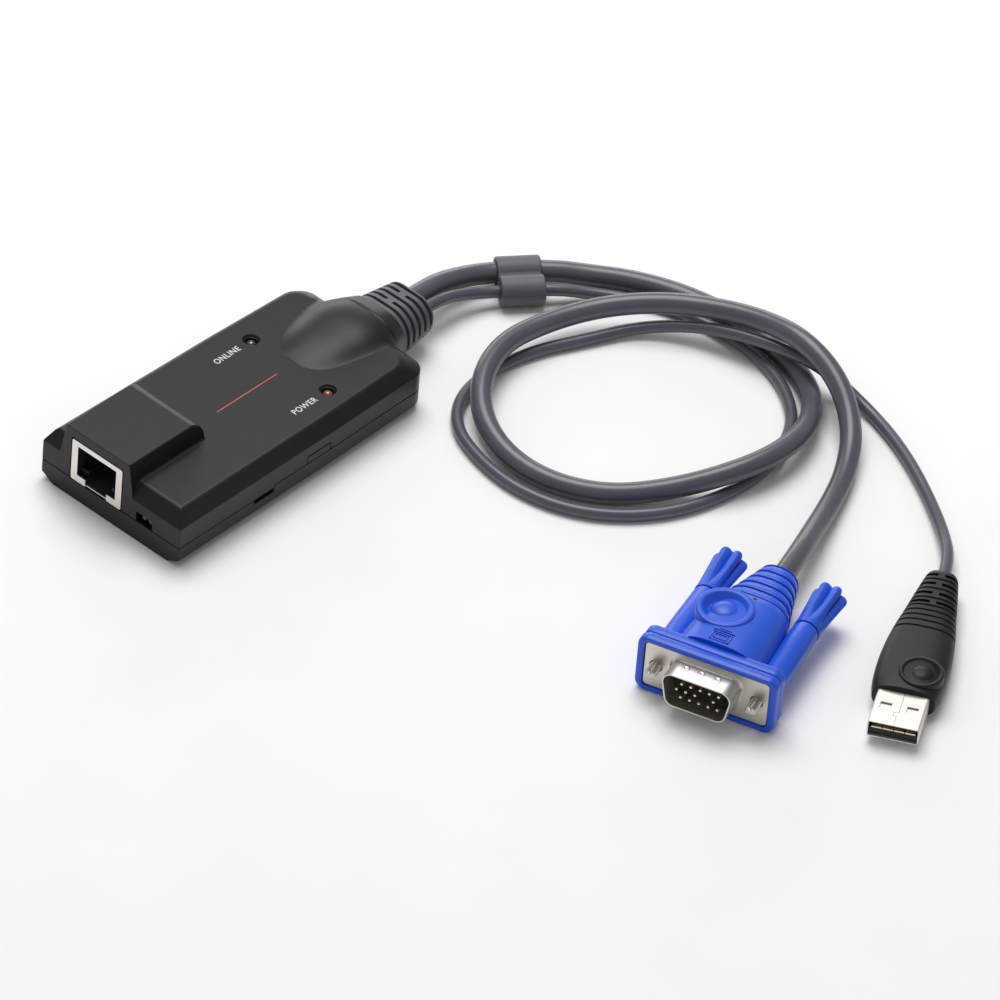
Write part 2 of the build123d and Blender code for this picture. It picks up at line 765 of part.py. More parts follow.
# Boot: ribbed grip outside, neck in the collar, lip inside the housing
with BuildPart() as boot:
    with BuildSketch(Plane.YZ.offset(x_rim)):
        arch(boot_half_start, boot_top_start, boot_foot_start, boot_round_start)
    with BuildSketch(Plane.YZ.offset(x_boot_end)):
        arch(boot_half_end, boot_top_end, boot_foot_end, boot_round_end)
    loft()
    fillet(boot.faces().sort_by(Axis.X)[-1].edges(), radius=boot_edge)
    # Slots: every other one is bridged in the middle of the top
    for row in range(boot_rows):
        place = boot_row_first + row * boot_row_pitch
        share = (place + boot_slot / 2) / boot_length
        half = boot_half_start + (boot_half_end - boot_half_start) * share
        high = boot_top_start + (boot_top_end - boot_top_start) * share
        foot = boot_foot_start + (boot_foot_end - boot_foot_start) * share
        with BuildSketch(Plane.YZ.offset(x_rim + place)):
            arch(half + 1, high + 1, foot - 1, boot_round_start)
            with Locations((boot_side, (high + foot) / 2)):
                RectangleRounded(
                    2 * (half - boot_slot_depth),
                    high - foot - 2 * boot_slot_depth,
                    boot_round_end - boot_slot_depth,
                    mode=Mode.SUBTRACT,
                )
            for side in (-1, 1):
                with Locations((boot_side + side * half, foot + (high - foot) * boot_bridge_share)):
                    Rectangle(2 * boot_slot_depth + 2, boot_bridge, mode=Mode.SUBTRACT)
            if row % 2 == 1:
                with Locations((boot_side, high)):
                    Rectangle(boot_bridge, 2 * boot_slot_depth + 2, mode=Mode.SUBTRACT)
            with Locations((boot_side, foot)):
                Rectangle(half, 2 * boot_slot_depth + 2, mode=Mode.SUBTRACT)
        extrude(amount=boot_slot, mode=Mode.SUBTRACT)
    with BuildSketch(Plane.YZ.offset(x_rim)):
        arch(boot_half_start, boot_top_start, boot_foot_start, boot_round_start, neck_shrink)
    extrude(amount=-(x_rim - x_back + wall + neck_gap))
    with BuildSketch(Plane.YZ.offset(x_back - wall - neck_gap)):
        arch(boot_half_start, lip_top, foot_height + neck_gap, boot_round_start - neck_shrink)
    extrude(amount=-lip_thick)
keep(boot, "boot")

# Cords
keep(cord_tube(vga_route, vga_cord_diameter), "vga_cord")
keep(cord_tube(usb_route, usb_cord_diameter), "usb_cord")

# Clip: two lobes in one sleeve, square on the run that carries it
clip_ends = [Vector(*vga_route[clip_run]), Vector(*vga_route[clip_run + 1])]
clip_middle = (clip_ends[0] + clip_ends[1]) / 2
clip_axis = (clip_ends[1] - clip_ends[0]).normalized()
other_middle = (Vector(*usb_route[clip_run]) + Vector(*usb_route[clip_run + 1])) / 2
clip_across = other_middle - clip_middle
clip_across = clip_across - clip_axis * clip_across.dot(clip_axis)
clip_spread = clip_across.length
with BuildPart() as cable_clip:
    with BuildSketch(Plane(origin=clip_middle, x_dir=clip_across, z_dir=clip_axis)):
        Circle(clip_lobe)
        with Locations((clip_spread, 0)):
            Circle(clip_lobe)
        with Locations((clip_spread / 2, 0)):
            Rectangle(clip_spread / 2, clip_lobe)
        Circle(vga_cord_diameter / 2 + clip_gap, mode=Mode.SUBTRACT)
        with Locations((clip_spread, 0)):
            Circle(usb_cord_diameter / 2 + clip_gap, mode=Mode.SUBTRACT)
    extrude(amount=clip_length / 2, both=True)
keep(cable_clip, "cable_clip")

# Video plug: moulded hood with its sleeves, body, relief and disc
screw_sides = (-screw_spread / 2, screw_spread / 2)
tier_front = hood_rim + hood_groove
tier_back = tier_front + hood_tier
groove_width = hood_width - 2 * hood_groove_depth
groove_height = hood_height - 2 * hood_groove_depth
with BuildPart() as vga_hood:
    with BuildSketch(cross(vga_base, tier_back)):
        RectangleRounded(hood_width, hood_height, hood_corner)
    extrude(amount=hood_tier)
    with BuildSketch(cross(vga_base, tier_front)):
        RectangleRounded(groove_width, groove_height, hood_corner - hood_groove_depth)
    extrude(amount=hood_groove)
    with BuildSketch(cross(vga_base, hood_rim)):
        RectangleRounded(hood_width, hood_height, hood_corner)
    extrude(amount=hood_rim + hood_lip)
    # Body from the tier to the waist and on to the relief, with an arched front
    with BuildSketch(cross(vga_base, tier_back)):
        with Locations((0, (body_crown - hood_height / 2) / 2)):
            RectangleRounded(2 * body_half_front, body_crown + hood_height / 2, body_round_front)
    with BuildSketch(cross(vga_base, body_waist_place)):
        RectangleRounded(2 * body_half_waist, 2 * body_top_waist, body_round_waist)
    with BuildSketch(cross(vga_base, hood_back)):
        RectangleRounded(2 * relief_half, 2 * relief_half, relief_round)
    loft(ruled=True)
    # Sleeves of the lock screws
    for side in screw_sides:
        with BuildSketch(cross(vga_base, tier_back)):
            with Locations((side, 0)):
                Circle(sleeve_radius)
        with BuildSketch(cross(vga_base, sleeve_end)):
            with Locations((side, 0)):
                Circle(sleeve_radius_back)
        loft()
    # Disc with a dish and a dome
    with BuildSketch(above(vga_base, disc_foot)):
        with Locations(disc_place):
            Circle(disc_radius)
    extrude(amount=disc_top - disc_foot)
    with BuildSketch(above(vga_base, disc_top)):
        with Locations(disc_place):
            Circle(dish_radius)
            Circle(dome_radius, mode=Mode.SUBTRACT)
    extrude(amount=-dish_depth, taper=dish_taper, mode=Mode.SUBTRACT)
    # Ribs of the relief, cut as grooves round it
    for row in range(rib_count):
        place = rib_first + row * rib_pitch
        share = (place - body_waist_place) / (hood_back - body_waist_place)
        half = body_half_waist + (relief_half - body_half_waist) * share
        high = body_top_waist + (relief_half - body_top_waist) * share
        with BuildSketch(cross(vga_base, place)):
            Rectangle(2 * half + 2, 2 * high + 2)
            RectangleRounded(
                2 * (half - rib_depth), 2 * (high - rib_depth), relief_round - rib_depth, mode=Mode.SUBTRACT
            )
            for side in screw_sides:
                with Locations((side, 0)):
                    Circle(sleeve_radius + rib_clear, mode=Mode.SUBTRACT)
        extrude(amount=-rib_width, mode=Mode.SUBTRACT)
    # Seat of the flange and of the insulator
    with BuildSketch(cross(vga_base, flange_sheet)):
        RectangleRounded(flange_width + flange_gap, flange_height + flange_gap, flange_round)
    extrude(amount=flange_sheet + hood_lip, mode=Mode.SUBTRACT)
    with BuildSketch(cross(vga_base, flange_sheet + insert_depth)):
        d_outline(d_sheet)
    extrude(amount=insert_depth, mode=Mode.SUBTRACT)
    # Bores of the lock screws
    for side in screw_sides:
        with BuildSketch(cross(vga_base, sleeve_end)):
            with Locations((side, 0)):
                Circle(screw_radius + screw_gap)
        extrude(amount=sleeve_end, mode=Mode.SUBTRACT)
keep(vga_hood, "vga_hood")

# Video plug: flange and shell pressed from one sheet
with BuildPart() as vga_shell:
    with BuildSketch(cross(vga_base, flange_sheet)):
        RectangleRounded(flange_width, flange_height, flange_round)
        with Locations(*[(side, 0) for side in screw_sides]):
            Circle(flange_hole, mode=Mode.SUBTRACT)
    extrude(amount=flange_sheet)
    with BuildSketch(cross(vga_base, 0)):
        d_outline(0)
    extrude(amount=d_reach)
    with BuildSketch(cross(vga_base, flange_sheet)):
        d_outline(d_sheet)
    extrude(amount=flange_sheet + d_reach, mode=Mode.SUBTRACT)
keep(vga_shell, "vga_shell")

# Video plug: insulator
with BuildPart() as vga_insert:
    with BuildSketch(cross(vga_base, flange_sheet + insert_depth)):
        d_outline(d_sheet)
    extrude(amount=insert_depth + flange_sheet + d_reach - insert_sunk)
keep(vga_insert, "vga_insert")

# Video plug: pins in three rows, the middle row shifted and one place empty
pin_places = []
for row, shift in ((1, 0.25), (0, -0.25), (-1, 0.25)):
    for column in range(5):
        if row != 0 or column != 3:
            pin_places.append(((column - 2 + shift) * pin_pitch, row * pin_row))
with BuildPart() as vga_pins:
    with BuildSketch(cross(vga_base, insert_sunk - d_reach)):
        with Locations(*pin_places):
            Circle(pin_radius)
    extrude(amount=insert_sunk - pin_sunk)
keep(vga_pins, "vga_pins")

# Video plug: lock screws, steel with a moulded knob
knob_front = sleeve_end + knob_gap
for name, side in zip(("left", "right"), screw_sides):
    with BuildPart() as lock_screw:
        with BuildSketch(cross(vga_base, knob_front)):
            with Locations((side, 0)):
                Circle(screw_radius)
        extrude(amount=knob_front + screw_reach)
        tip = lock_screw.edges().filter_by(GeomType.CIRCLE).sort_by_distance(vga_base.origin)[0]
        chamfer(tip, length=tip_chamfer)
    keep(lock_screw, f"lock_screw_{name}")
    with BuildPart() as knob:
        with BuildSketch(cross(vga_base, knob_front)):
            with Locations((side, 0)):
                Circle(knob_radius)
        with BuildSketch(cross(vga_base, knob_front + knob_length)):
            with Locations((side, 0)):
                Circle(knob_flare)
        loft()
        with BuildSketch(cross(vga_base, knob_front + knob_length)):
            with Locations((side, 0)):
                with PolarLocations(knob_flare + flute_radius / 2, knob_flutes):
                    Circle(flute_radius)
        extrude(amount=knob_length - knob_collar, mode=Mode.SUBTRACT)
    keep(knob, f"knob_{name}")

# Serial bus plug: folded metal shell with its two windows
usb_inside_width = shell_width - 2 * shell_sheet
usb_inside_height = shell_height - 2 * shell_sheet
with BuildPart() as usb_shell:
    with BuildSketch(cross(usb_base, shell_length)):
        RectangleRounded(shell_width, shell_height, shell_round)
        RectangleRounded(usb_inside_width, usb_inside_height, shell_round - shell_sheet, mode=Mode.SUBTRACT)
    extrude(amount=shell_length)
    with BuildSketch(above(usb_base, -shell_height)):
        with Locations((0, window_place + window_depth / 2)):
            with GridLocations(window_spread, 1, 2, 1):
                Rectangle(window_size, window_depth)
    extrude(amount=2 * shell_height, mode=Mode.SUBTRACT)
keep(usb_shell, "usb_shell")

# Serial bus plug: tongue on the lower sheet, with its block at the back
tongue_low = -usb_inside_height / 2
with BuildPart() as usb_tongue:
    with BuildSketch(cross(usb_base, shell_length)):
        RectangleRounded(usb_inside_width, usb_inside_height, shell_round - shell_sheet)
        with Locations((0, tongue_thick)):
            Rectangle(usb_inside_width, usb_inside_height, mode=Mode.SUBTRACT)
    extrude(amount=shell_length - tongue_sunk)
    with BuildSketch(cross(usb_base, shell_length)):
        RectangleRounded(usb_inside_width, usb_inside_height, shell_round - shell_sheet)
    extrude(amount=shell_length - tongue_length)
keep(usb_tongue, "usb_tongue")

with BuildPart() as usb_contacts:
    with BuildSketch(cross(usb_base, tongue_length)):
        contact_middle = tongue_low + tongue_thick + usb_contact_sheet / 2
        with Locations(*[(place, contact_middle) for place in usb_contact_places]):
            Rectangle(usb_contact_width, usb_contact_sheet)
    extrude(amount=tongue_length - tongue_sunk - usb_contact_sunk)
keep(usb_contacts, "usb_contacts")

# Serial bus plug: moulded grip, waisted towards the cord
with BuildPart() as usb_grip:
    for place, half, high, corner in (
        (shell_reach - arch_depth, grip_half_front, grip_half_height, grip_round_front),
        (grip_middle, grip_half_middle, grip_half_height, grip_round_front),
        (grip_neck, grip_half_neck, grip_half_height, grip_round_front),
        (grip_end, grip_half_end, grip_half_height_end, grip_round),
    ):
        with BuildSketch(cross(usb_base, place)):
            RectangleRounded(2 * half, 2 * high, corner)
    loft(ruled=True)
    with BuildSketch(above(usb_base, 0)):
        with Locations(grip_disc_place):
            Circle(grip_disc_radius)
    extrude(amount=grip_half_height + grip_disc_rise)
    with BuildSketch(above(usb_base, grip_half_height + grip_disc_rise)):
        with Locations(grip_disc_place):
            Circle(grip_dish_radius)
            Circle(grip_dome_radius, mode=Mode.SUBTRACT)
    extrude(amount=-grip_dish_depth, taper=dish_taper, mode=Mode.SUBTRACT)
    # Front edge curves back in the middle
    with BuildSketch(above(usb_base, -grip_half_height)):
        with Locations((0, shell_reach - arch_radius)):
            Circle(arch_radius)
    extrude(amount=3 * grip_half_height, mode=Mode.SUBTRACT)
    # Grooves right round, then rows of slots with bridges
    for row in range(groove_count + slot_rows):
        full = row < groove_count
        place = grip_neck + row * groove_pitch if full else slot_first + (row - groove_count) * slot_pitch
        share = (place - grip_neck) / (grip_end - grip_neck)
        half = grip_half_neck + (grip_half_end - grip_half_neck) * share
        high = grip_half_height + (grip_half_height_end - grip_half_height) * share
        with BuildSketch(cross(usb_base, place)):
            Rectangle(2 * half + 2, 2 * high + 2)
            RectangleRounded(
                2 * (half - groove_depth), 2 * (high - groove_depth), groove_round, mode=Mode.SUBTRACT
            )
            if not full:
                Rectangle(slot_bridge, 2 * high + 2, mode=Mode.SUBTRACT)
                Rectangle(2 * half + 2, slot_bridge, mode=Mode.SUBTRACT)
        extrude(amount=-(groove_slit if full else slot_width), mode=Mode.SUBTRACT)
    with BuildSketch(cross(usb_base, shell_length)):
        Rectangle(shell_width, shell_height)
    extrude(amount=shell_length, mode=Mode.SUBTRACT)
keep(usb_grip, "usb_grip")
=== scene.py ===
# %% [markdown]
# A small adapter for a keyboard, video and mouse switch, dressed for a studio picture.
# The measured model comes in first as a fixed frame. Every piece made below is in metres
# and in the same place as the solid that it stands for, so nothing has to be fitted by
# hand.

# %% Load the frame
import json
import math

import bmesh
import bpy
from mathutils import Matrix, Vector

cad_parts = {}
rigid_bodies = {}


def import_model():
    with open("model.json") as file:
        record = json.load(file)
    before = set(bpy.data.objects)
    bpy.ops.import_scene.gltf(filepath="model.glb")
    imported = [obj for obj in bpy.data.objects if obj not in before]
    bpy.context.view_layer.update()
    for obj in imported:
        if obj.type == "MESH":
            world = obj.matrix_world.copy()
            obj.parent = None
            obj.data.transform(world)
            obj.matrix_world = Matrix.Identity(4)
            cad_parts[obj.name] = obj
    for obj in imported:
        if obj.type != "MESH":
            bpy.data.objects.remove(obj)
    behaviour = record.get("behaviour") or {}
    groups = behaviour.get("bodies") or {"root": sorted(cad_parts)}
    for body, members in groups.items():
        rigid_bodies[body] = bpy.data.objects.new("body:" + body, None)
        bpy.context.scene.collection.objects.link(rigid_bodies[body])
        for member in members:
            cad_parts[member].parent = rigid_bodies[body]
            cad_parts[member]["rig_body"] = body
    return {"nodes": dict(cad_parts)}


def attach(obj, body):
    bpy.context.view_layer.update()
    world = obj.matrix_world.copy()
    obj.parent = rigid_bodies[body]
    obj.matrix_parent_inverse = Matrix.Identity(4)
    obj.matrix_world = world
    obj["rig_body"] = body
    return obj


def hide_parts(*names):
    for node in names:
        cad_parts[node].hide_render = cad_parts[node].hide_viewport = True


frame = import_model()
scene = bpy.context.scene
MM = 0.001
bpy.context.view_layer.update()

# %% [markdown]
# The picture was taken from far away with a long lens, so parallel edges stay nearly
# parallel. A camera could be aimed with a tracking constraint, but its small roll would
# then need a second step. Three axes worked out from the heading, the height and the roll
# give the same view in one matrix.

# %% Aiming a camera
def aimed(heading, height, roll, distance, target):
    """Matrix of a camera that looks at target from a heading and a height."""
    a, e, r = (math.radians(turn) for turn in (heading, height, roll))
    back = Vector((math.sin(a) * math.cos(e), -math.cos(a) * math.cos(e), math.sin(e)))
    right = Vector((math.cos(a), math.sin(a), 0))
    up = back.cross(right)
    level = right * math.cos(r) + up * math.sin(r)
    upright = up * math.cos(r) - right * math.sin(r)
    matrix = Matrix((level, upright, back)).transposed().to_4x4()
    matrix.translation = Vector(target) + back * distance
    return matrix


# %% Camera
long_lens = bpy.data.cameras.new("long_lens")
long_lens.lens = 432
long_lens.sensor_width = 36
long_lens.clip_end = 12
camera = bpy.data.objects.new("camera", long_lens)
camera.matrix_world = aimed(
    heading=-50.644, height=40.545, roll=5.1, distance=2.768665, target=(0.027815, -0.055975, 0)
)
scene.collection.objects.link(camera)
scene.camera = camera
scene.view_settings.view_transform = "Standard"
print("camera at", [round(v, 3) for v in camera.matrix_world.translation])

# %% [markdown]
# Two cords leave the boot: a thick one with the video wires and a thin one for the serial
# bus. Each is a round jacket of constant thickness that lies in loose turns and climbs
# over the turns beneath it. A mesh tube would need many rings to look smooth. A curve of
# a few control points with a round bevel stays smooth at any size, so each cord is one
# spline through the points where its line changes.

# %% Cord maker
def jacket(name, points, diameter):
    """Round cord along one smooth spline, points in millimetres."""
    line = bpy.data.curves.new(name, "CURVE")
    line.dimensions = "3D"
    line.resolution_u = 24
    line.bevel_depth = diameter * MM / 2
    line.bevel_resolution = 7
    line.use_fill_caps = True
    spline = line.splines.new("NURBS")
    spline.points.add(len(points) - 1)
    for knot, (x, y, z) in zip(spline.points, points):
        knot.co = (x * MM, y * MM, z * MM, 1)
    spline.order_u = 3
    spline.use_endpoint_u = True
    cord = bpy.data.objects.new(name, line)
    scene.collection.objects.link(cord)
    print(name, len(points), "points")
    return cord


# %% Video cord
video_jacket = jacket(
    "video_jacket",
    [
        (56.4, 1.2, 8.2), (62.4, 1.2, 8.2), (70, 1.5, 6.9), (82, -0.5, 3.75),
        (94.5, -10.5, 3.75), (101, -17.5, 2.7), (106.5, -25, 2.7), (111.5, -36, 2.7),
        (114, -49, 2.7), (113.5, -62.5, 3.1), (111, -75, 2.4), (103.5, -86, 4),
        (92, -92.5, 5.8), (79, -93.5, 6.6), (66, -89.5, 5.9), (56, -82, 3),
        (45, -74, 2.7), (38.5, -62, 2.6), (37.5, -49, 3.1), (42, -36.5, 4.6),
        (51.5, -27.5, 6.2), (64, -23, 6.6), (77.5, -24.5, 6.1), (90, -29.5, 6.6),
        (100, -38.5, 8), (107, -49.5, 9.2), (111, -62, 10.8), (111, -75, 12.7),
        (109, -88, 9.5), (102.5, -98.5, 5), (92, -106, 2.8), (80, -111.5, 3),
        (68, -116.5, 5), (55.79, -121.87, 7.8), (47.2, -124.57, 7.8),
    ],
    5.2,
)

# %% [markdown]
# The thin cord leaves the boot beside the thick one and shares its clip. It then lies
# under the thick turns, flat on the table for most of its way, where the height of a
# point is half the cord's thickness. Only where it crosses over its own line and the
# thick one does it climb. It could be a copy of the thick cord, moved a little, but the
# two part at every bend, so it has its own points.

# %% Serial cord
serial_jacket = jacket(
    "serial_jacket",
    [
        (56.4, -3.4, 8.2), (61.9, -3.4, 8.2), (69.5, -3.5, 6), (77.5, -6, 3.75),
        (90, -16, 3.75), (96.5, -21.5, 2.2), (102.5, -29, 1.6), (107.5, -39, 1.6),
        (109.5, -51, 1.6), (109, -63, 1.6), (105.5, -74.5, 1.6), (98, -84.5, 1.6),
        (87.5, -90, 1.6), (75.5, -92.5, 1.6), (63.5, -91, 1.6), (52, -87, 1.6),
        (42, -79.5, 1.6), (35, -69.5, 1.6), (32, -57.5, 1.6), (33, -45.5, 1.6),
        (37.5, -32.5, 1.6), (47.5, -25.2, 1.6), (60.5, -24.2, 1.6), (72.5, -26.6, 1.6),
        (84, -32, 1.6), (95, -37, 2), (102.5, -46.5, 4.3), (106.5, -57.5, 6.6),
        (109.5, -69.5, 7.7), (112, -81, 7), (114, -92, 1.6), (110.5, -104, 1.5),
        (105.5, -115, 1.6), (99.5, -125.5, 1.5), (92.5, -135.5, 2.4), (84.84, -143.76, 4),
        (78.73, -147.17, 4),
    ],
    3.0,
)

# %% [markdown]
# A product table is a wide pale sheet under large soft boxes. A single lamp would make
# hard shadows and pinpoint highlights on the plastic. Black plastic shows what it
# mirrors, so the room is only half bright, which keeps the level top of the housing
# dark. A big box overhead gives most of the light, and a low one far behind draws the
# sheen along the far edges and the collar.

# %% Room
surround = bpy.data.worlds.new("studio")
surround.use_nodes = True
sky = surround.node_tree.nodes["Background"]
sky.inputs["Color"].default_value = (1, 1, 1, 1)
sky.inputs["Strength"].default_value = 0.34
scene.world = surround
print("room at", round(sky.inputs["Strength"].default_value, 2), "of full white")


# %% Soft boxes
def panel(name, place, aim, width, height, power):
    """Soft box at a place, turned towards a point."""
    light = bpy.data.lights.new(name, "AREA")
    light.shape = "RECTANGLE"
    light.size = width
    light.size_y = height
    light.energy = power
    lamp = bpy.data.objects.new(name, light)
    lamp.location = place
    lamp.rotation_euler = (Vector(aim) - Vector(place)).to_track_quat("-Z", "Y").to_euler()
    scene.collection.objects.link(lamp)
    print(name, width, "by", height, "m,", power, "W")
    return lamp


middle = (0.03, -0.05, 0)
panel("top_box", place=(0.3, 0.33, 1.25), aim=middle, width=0.9, height=0.9, power=14.5)
back_box = panel("back_box", place=(1.3, 1.5, 0.42), aim=middle, width=1.8, height=0.6, power=11)
back_box.data.color = (1.0, 0.94, 0.9)

# %% [markdown]
# No real surface has one flat shade. Moulded plastic has a grain from the mould, sheet
# metal has a trace of its rolling, and both are a little darker in some places. Pictures
# of a surface could show that, but they stretch and repeat. Noise that is worked out in
# the piece's own space fits any shape, so one maker builds every finish: fine noise moves
# the gloss and the relief, and the same noise forty times wider moves the shade.

# %% Noise on a piece
def noise_on(tree, where, size, detail):
    """Noise with grains of a size in millimetres, fixed to the piece."""
    noise = tree.nodes.new("ShaderNodeTexNoise")
    noise.inputs["Scale"].default_value = 1 / (size * MM)
    noise.inputs["Detail"].default_value = detail
    tree.links.new(where.outputs["Object"], noise.inputs["Vector"])
    return noise


def shaded(tree, patches, low, high):
    """Base colour that moves between two shades with the patches."""
    shade = tree.nodes.new("ShaderNodeValToRGB")
    for element, place, colour in zip(shade.color_ramp.elements, (0.3, 0.7), (low, high)):
        element.position = place
        element.color = (*colour, 1)
    tree.links.new(patches.outputs["Fac"], shade.inputs["Fac"])
    tree.links.new(shade.outputs["Color"], tree.nodes["Principled BSDF"].inputs["Base Color"])


# %% Gloss and relief
def grained(tree, grain, roughness, relief):
    """Roughness between two values and relief in millimetres, both from the grain."""
    shader = tree.nodes["Principled BSDF"]
    gloss = tree.nodes.new("ShaderNodeMapRange")
    gloss.inputs["To Min"].default_value = roughness[0]
    gloss.inputs["To Max"].default_value = roughness[1]
    tree.links.new(grain.outputs["Fac"], gloss.inputs["Value"])
    tree.links.new(gloss.outputs["Result"], shader.inputs["Roughness"])
    bump = tree.nodes.new("ShaderNodeBump")
    bump.inputs["Strength"].default_value = 1
    bump.inputs["Distance"].default_value = relief * MM
    tree.links.new(grain.outputs["Fac"], bump.inputs["Height"])
    tree.links.new(bump.outputs["Normal"], shader.inputs["Normal"])


# %% Finish maker
PATCHES_TO_GRAIN = 40


def graded(name, low, high, scale, roughness, relief, metal=0.0, shine=0.5):
    """Material whose shade, gloss and relief follow noise, sizes in millimetres."""
    material = bpy.data.materials.new(name)
    material.use_nodes = True
    tree = material.node_tree
    shader = tree.nodes["Principled BSDF"]
    shader.inputs["Metallic"].default_value = metal
    shader.inputs["Specular IOR Level"].default_value = shine
    where = tree.nodes.new("ShaderNodeTexCoord")
    grain = noise_on(tree, where, scale, 3)
    patches = noise_on(tree, where, scale * PATCHES_TO_GRAIN, 2)
    shaded(tree, patches, low, high)
    grained(tree, grain, roughness, relief)
    print("finish", name)
    return material


# %% [markdown]
# The table itself is a sheet of matt white board. A plain white colour would do for one
# picture, but real board has a trace of tooth, so a fine noise moves its shade and its
# roughness a little.

# %% Table board
def sheet_of(name, half, height):
    """Flat square sheet at a height."""
    outline = ((-half, -half), (half, -half), (half, half), (-half, half))
    mesh = bpy.data.meshes.new(name)
    mesh.from_pydata([(x, y, height) for x, y in outline], [], [(0, 1, 2, 3)])
    sheet = bpy.data.objects.new(name, mesh)
    scene.collection.objects.link(sheet)
    return sheet


table = sheet_of("table", 6, 0)
white_board = graded(
    "white_board", (0.93, 0.93, 0.93), (0.95, 0.95, 0.95), 0.6, (0.75, 0.85), 0.004
)
table.data.materials.append(white_board)

# %% [markdown]
# The jackets are soft vinyl: slate grey, half glossy, with the faint drag lines that the
# extruder leaves. The housing is a black moulding with a fine spark-eroded grain that
# turns a hard reflection into a wide sheen. The boot and the clip are softer and greyer.
# Paint-like flat colours would make all four look the same, so each gets its own grain
# size, gloss and pair of shades.

# %% Plastics of the housing and cords
jacket_vinyl = graded(
    "jacket_vinyl", (0.078, 0.074, 0.098), (0.095, 0.09, 0.117), 0.35, (0.27, 0.36), 0.003,
    shine=0.6,
)
housing_black = graded(
    "housing_black", (0.0078, 0.0067, 0.0118), (0.0104, 0.009, 0.015), 0.12, (0.34, 0.42), 0.003,
    shine=0.31,
)
boot_grey = graded(
    "boot_grey", (0.095, 0.084, 0.106), (0.112, 0.101, 0.125), 0.25, (0.45, 0.6), 0.006
)
video_jacket.data.materials.append(jacket_vinyl)
serial_jacket.data.materials.append(jacket_vinyl)

# %% [markdown]
# The hood of the video plug is a deep clear blue, the usual colour of its kind, and the
# serial plug's grip is a warm black. What carries the contacts is a matt black, so that
# the bright pins stand out against it.

# %% Plastics of the plugs
plug_blue = graded(
    "plug_blue", (0.012, 0.086, 0.62), (0.015, 0.098, 0.7), 0.2, (0.32, 0.42), 0.004,
    shine=0.45,
)
grip_black = graded(
    "grip_black", (0.0098, 0.008, 0.0078), (0.013, 0.0108, 0.0106), 0.14, (0.4, 0.52), 0.005,
    shine=0.31,
)
# The same matt black also makes the rings of painted shade in the lock screws' bores.
insulator_and_shade_black = graded(
    "insulator_and_shade_black", (0.006, 0.006, 0.006), (0.009, 0.009, 0.009), 0.2, (0.5, 0.65), 0.003
)

# %% [markdown]
# Bright parts are thin sheet steel or brass with a plated skin. A mirror would show only
# the white room, so the plating keeps a soft grain and a little colour. The flat nickel
# pieces lie where they mirror a soft box, so they are a little less than full metal.

# %% Sheet metals
tinned_sheet = graded(
    "tinned_sheet", (0.72, 0.68, 0.64), (0.8, 0.76, 0.72), 0.3, (0.26, 0.4), 0.003, metal=1
)
nickel_plate = graded(
    "nickel_plate", (0.74, 0.69, 0.63), (0.82, 0.77, 0.71), 0.25, (0.34, 0.42), 0.0012,
    metal=0.72,
)
shell_plate = graded(
    "shell_plate", (0.65, 0.605, 0.55), (0.73, 0.685, 0.63), 0.25, (0.36, 0.44), 0.0008,
    metal=0.96,
)

# %% Contacts and screws
gold_plate = graded(
    "gold_plate", (0.75, 0.5, 0.18), (0.85, 0.6, 0.25), 0.2, (0.2, 0.32), 0.002, metal=1
)
pin_plate = graded(
    "pin_plate", (0.78, 0.7, 0.5), (0.86, 0.78, 0.6), 0.2, (0.18, 0.3), 0.002, metal=1
)
screw_steel = graded(
    "screw_steel", (0.44, 0.415, 0.385), (0.54, 0.51, 0.475), 0.2, (0.2, 0.3), 0.003, metal=1
)

# %% [markdown]
# The housing hides a board with two chips, a transformer, a crystal and two headers for
# the cords. Nobody sees them while it is shut, but the small switch in the front and the
# view through the socket's mouth show a little, so they get the finishes they have on any
# such board: green lacquer, dull epoxy, cream nylon and grey levers.

# %% Inside materials
board_green = graded(
    "board_green", (0.01, 0.09, 0.03), (0.015, 0.12, 0.04), 0.3, (0.3, 0.4), 0.004
)
chip_epoxy = graded(
    "chip_epoxy", (0.012, 0.012, 0.013), (0.018, 0.018, 0.02), 0.15, (0.55, 0.7), 0.005
)
lever_grey = graded(
    "lever_grey", (0.11, 0.11, 0.112), (0.14, 0.14, 0.142), 0.2, (0.45, 0.55), 0.004
)
header_cream = graded(
    "header_cream", (0.6, 0.56, 0.45), (0.66, 0.62, 0.5), 0.3, (0.5, 0.6), 0.004
)

# %% [markdown]
# Every solid of the measured model gets its finish here, also those that a finer piece
# will stand for, so that nothing is bare. A copy of a solid made later takes the finish
# along with the mesh.

# %% Finish of every solid
finishes = [
    (board_green, ["circuit_board"]),
    (chip_epoxy, ["control_chip", "video_chip", "transformer"]),
    (header_cream, ["video_header", "serial_header"]),
    (tinned_sheet, ["lamp_leads", "rj45_shield"]),
    (gold_plate, ["rj45_contacts", "usb_contacts"]),
    (insulator_and_shade_black, ["rj45_insert", "dip_switch", "vga_insert", "usb_tongue"]),
    (insulator_and_shade_black, ["link_lamp", "power_lamp"]),
    (lever_grey, ["dip_lever_1", "dip_lever_2"]),
    (housing_black, ["upper_shell", "lower_shell"]),
    (boot_grey, ["boot", "cable_clip"]),
    (jacket_vinyl, ["vga_cord", "usb_cord"]),
    (plug_blue, ["vga_hood", "knob_left", "knob_right"]),
    (shell_plate, ["vga_shell"]),
    (pin_plate, ["vga_pins"]),
    (screw_steel, ["lock_screw_left", "lock_screw_right"]),
    (nickel_plate, ["crystal", "usb_shell"]),
    (grip_black, ["usb_grip"]),
]
for material, solids in finishes:
    for node in solids:
        mesh = frame["nodes"][node].data
        mesh.materials.clear()
        mesh.materials.append(material)
print("finished", sum(len(solids) for _, solids in finishes), "solids")
